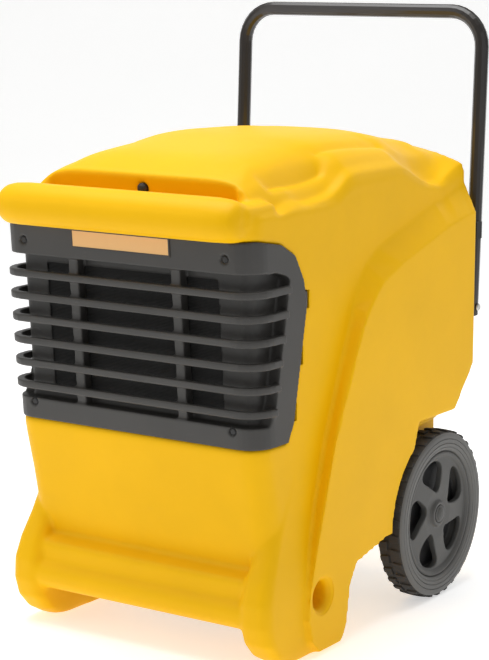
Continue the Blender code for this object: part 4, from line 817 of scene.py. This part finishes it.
class DEHUMIDIFIER_OT_stage(bpy.types.Operator):
    """Sets a pale floor, soft lights and the camera"""

    bl_idname = "dehumidifier.stage"
    bl_label = "Studio"

    def execute(self, context):
        bpy.ops.mesh.primitive_grid_add(x_subdivisions=2, y_subdivisions=40, size=1)
        floor = bpy.context.object
        floor.name = "studio_floor"
        for vertex in floor.data.vertices:
            run = (vertex.co.y + 0.5) * 16 - 6
            bend = max(0.0, run - 4.5)
            rise = bend**2 / 5 if bend < 2.5 else 1.25 + (bend - 2.5)
            vertex.co = (vertex.co.x * 22, min(run, 8.0), rise)
        turn = Matrix.Rotation(math.radians(34), 4, "Z")
        floor.data.transform(turn)
        smooth_shade(floor, 60)
        pale = surface("floor_paint", (0.90, 0.90, 0.89), (0.87, 0.87, 0.86), 0.75, grain=(60.0, 0.03),
                       drift=0.6)
        paint = pale.node_tree.nodes["Principled BSDF"]
        paint.inputs["Emission Color"].default_value = (1, 1, 1, 1)
        paint.inputs["Emission Strength"].default_value = FLOOR_GLOW
        floor.data.materials.append(pale)

        world = bpy.data.worlds.new("studio")
        context.scene.world = world
        world.use_nodes = True
        sky = world.node_tree.nodes["Background"]
        sky.inputs["Color"].default_value = (1.0, 1.0, 1.0, 1)
        mirrored = node(world.node_tree, "LightPath").outputs["Is Glossy Ray"]
        level = node(world.node_tree, "MapRange", {"Value": mirrored, "To Min": WORLD_LEVEL,
                                                   "To Max": WORLD_MIRRORED})
        world.node_tree.links.new(level.outputs[0], sky.inputs["Strength"])
        context.scene.view_settings.view_transform = "Standard"

        middle = Vector((0, 0, 0.5))
        for name, place, size, power, colour in LAMPS:
            lamp = bpy.data.lights.new(name, "AREA")
            lamp.shape = "DISK"
            lamp.size, lamp.energy, lamp.color = size, power, colour
            stand = bpy.data.objects.new(name, lamp)
            context.scene.collection.objects.link(stand)
            stand.location = place
            stand.rotation_euler = (middle - Vector(place)).to_track_quat("-Z", "Y").to_euler()

        camera = bpy.data.cameras.new("camera")
        camera.sensor_width = 36
        camera.lens = LENS
        mount = bpy.data.objects.new("camera", camera)
        context.scene.collection.objects.link(mount)
        mount.location = CAMERA_PLACE
        ahead = Vector((-math.sin(AZIMUTH) * math.cos(ELEVATION), math.cos(AZIMUTH) * math.cos(ELEVATION),
                        -math.sin(ELEVATION)))
        mount.rotation_euler = ahead.to_track_quat("-Z", "Y").to_euler()
        context.scene.camera = mount
        return {"FINISHED"}


class DehumidifierLook(bpy.types.PropertyGroup):
    body: bpy.props.FloatVectorProperty(name="Body", description="Colour of the moulded body",
                                        subtype="COLOR",
                                        size=3, min=0, max=1, default=(0.94, 0.52, 0.0))
    trim: bpy.props.FloatVectorProperty(name="Trim", description="Colour of the grille and rear cover",
                                        subtype="COLOR", size=3, min=0, max=1, default=(0.046, 0.0435, 0.040))
    wheel: bpy.props.FloatVectorProperty(name="Wheel", description="Colour of the rims and side walls",
                                         subtype="COLOR", size=3, min=0, max=1, default=(0.120, 0.118, 0.112))
    body_voxel: bpy.props.FloatProperty(name="Body mesh", description="Mesh size of the body",
                                        subtype="DISTANCE",
                                        default=0.0038, min=0.003, max=0.01, precision=4)
    body_rounds: bpy.props.IntProperty(name="Body rounding",
                                       description="How far the mould's edges are rounded",
                                       default=7, min=1, max=40)
    grille_voxel: bpy.props.FloatProperty(name="Grille mesh", description="Mesh size of the grille",
                                          subtype="DISTANCE", default=0.002, min=0.0012, max=0.005,
                                          precision=4)
    rim_voxel: bpy.props.FloatProperty(name="Rim mesh", description="Mesh size of the rims",
                                       subtype="DISTANCE",
                                       default=0.0014, min=0.001, max=0.005, precision=4)
    lugs: bpy.props.IntProperty(name="Lugs", description="Tread lugs in each row of a tyre", default=34,
                                min=12,
                                max=60)


STEPS = (DEHUMIDIFIER_OT_body, DEHUMIDIFIER_OT_grille, DEHUMIDIFIER_OT_badge, DEHUMIDIFIER_OT_wheels,
         DEHUMIDIFIER_OT_fittings, DEHUMIDIFIER_OT_stage)


class DEHUMIDIFIER_PT_panel(bpy.types.Panel):
    """Sizes, colours and the pieces in the order they are made"""

    bl_label = "Dehumidifier"
    bl_idname = "DEHUMIDIFIER_PT_panel"
    bl_space_type = "VIEW_3D"
    bl_region_type = "UI"
    bl_category = "Dehumidifier"

    def draw(self, context):
        look = context.scene.dehumidifier_look
        for name in ("body", "trim", "wheel", "body_voxel", "body_rounds", "grille_voxel", "rim_voxel",
                     "lugs"):
            self.layout.prop(look, name)
        for step in STEPS:
            self.layout.operator(step.bl_idname)


CLASSES = (DehumidifierLook, *STEPS, DEHUMIDIFIER_PT_panel)


def register():
    for held in CLASSES:
        bpy.utils.register_class(held)
    bpy.types.Scene.dehumidifier_look = bpy.props.PointerProperty(type=DehumidifierLook)


def unregister():
    del bpy.types.Scene.dehumidifier_look
    for held in reversed(CLASSES):
        bpy.utils.unregister_class(held)


def main():
    register()
    GROUPS.update(grain=grain_group(), tone=tone_group(), scuffs=scuff_group(), weave=weave_group())
    bpy.ops.dehumidifier.body()
    bpy.ops.dehumidifier.grille()
    bpy.ops.dehumidifier.badge()
    bpy.ops.dehumidifier.wheels()
    bpy.ops.dehumidifier.fittings()
    bpy.ops.dehumidifier.stage()


if __name__ == "__main__":
    main()
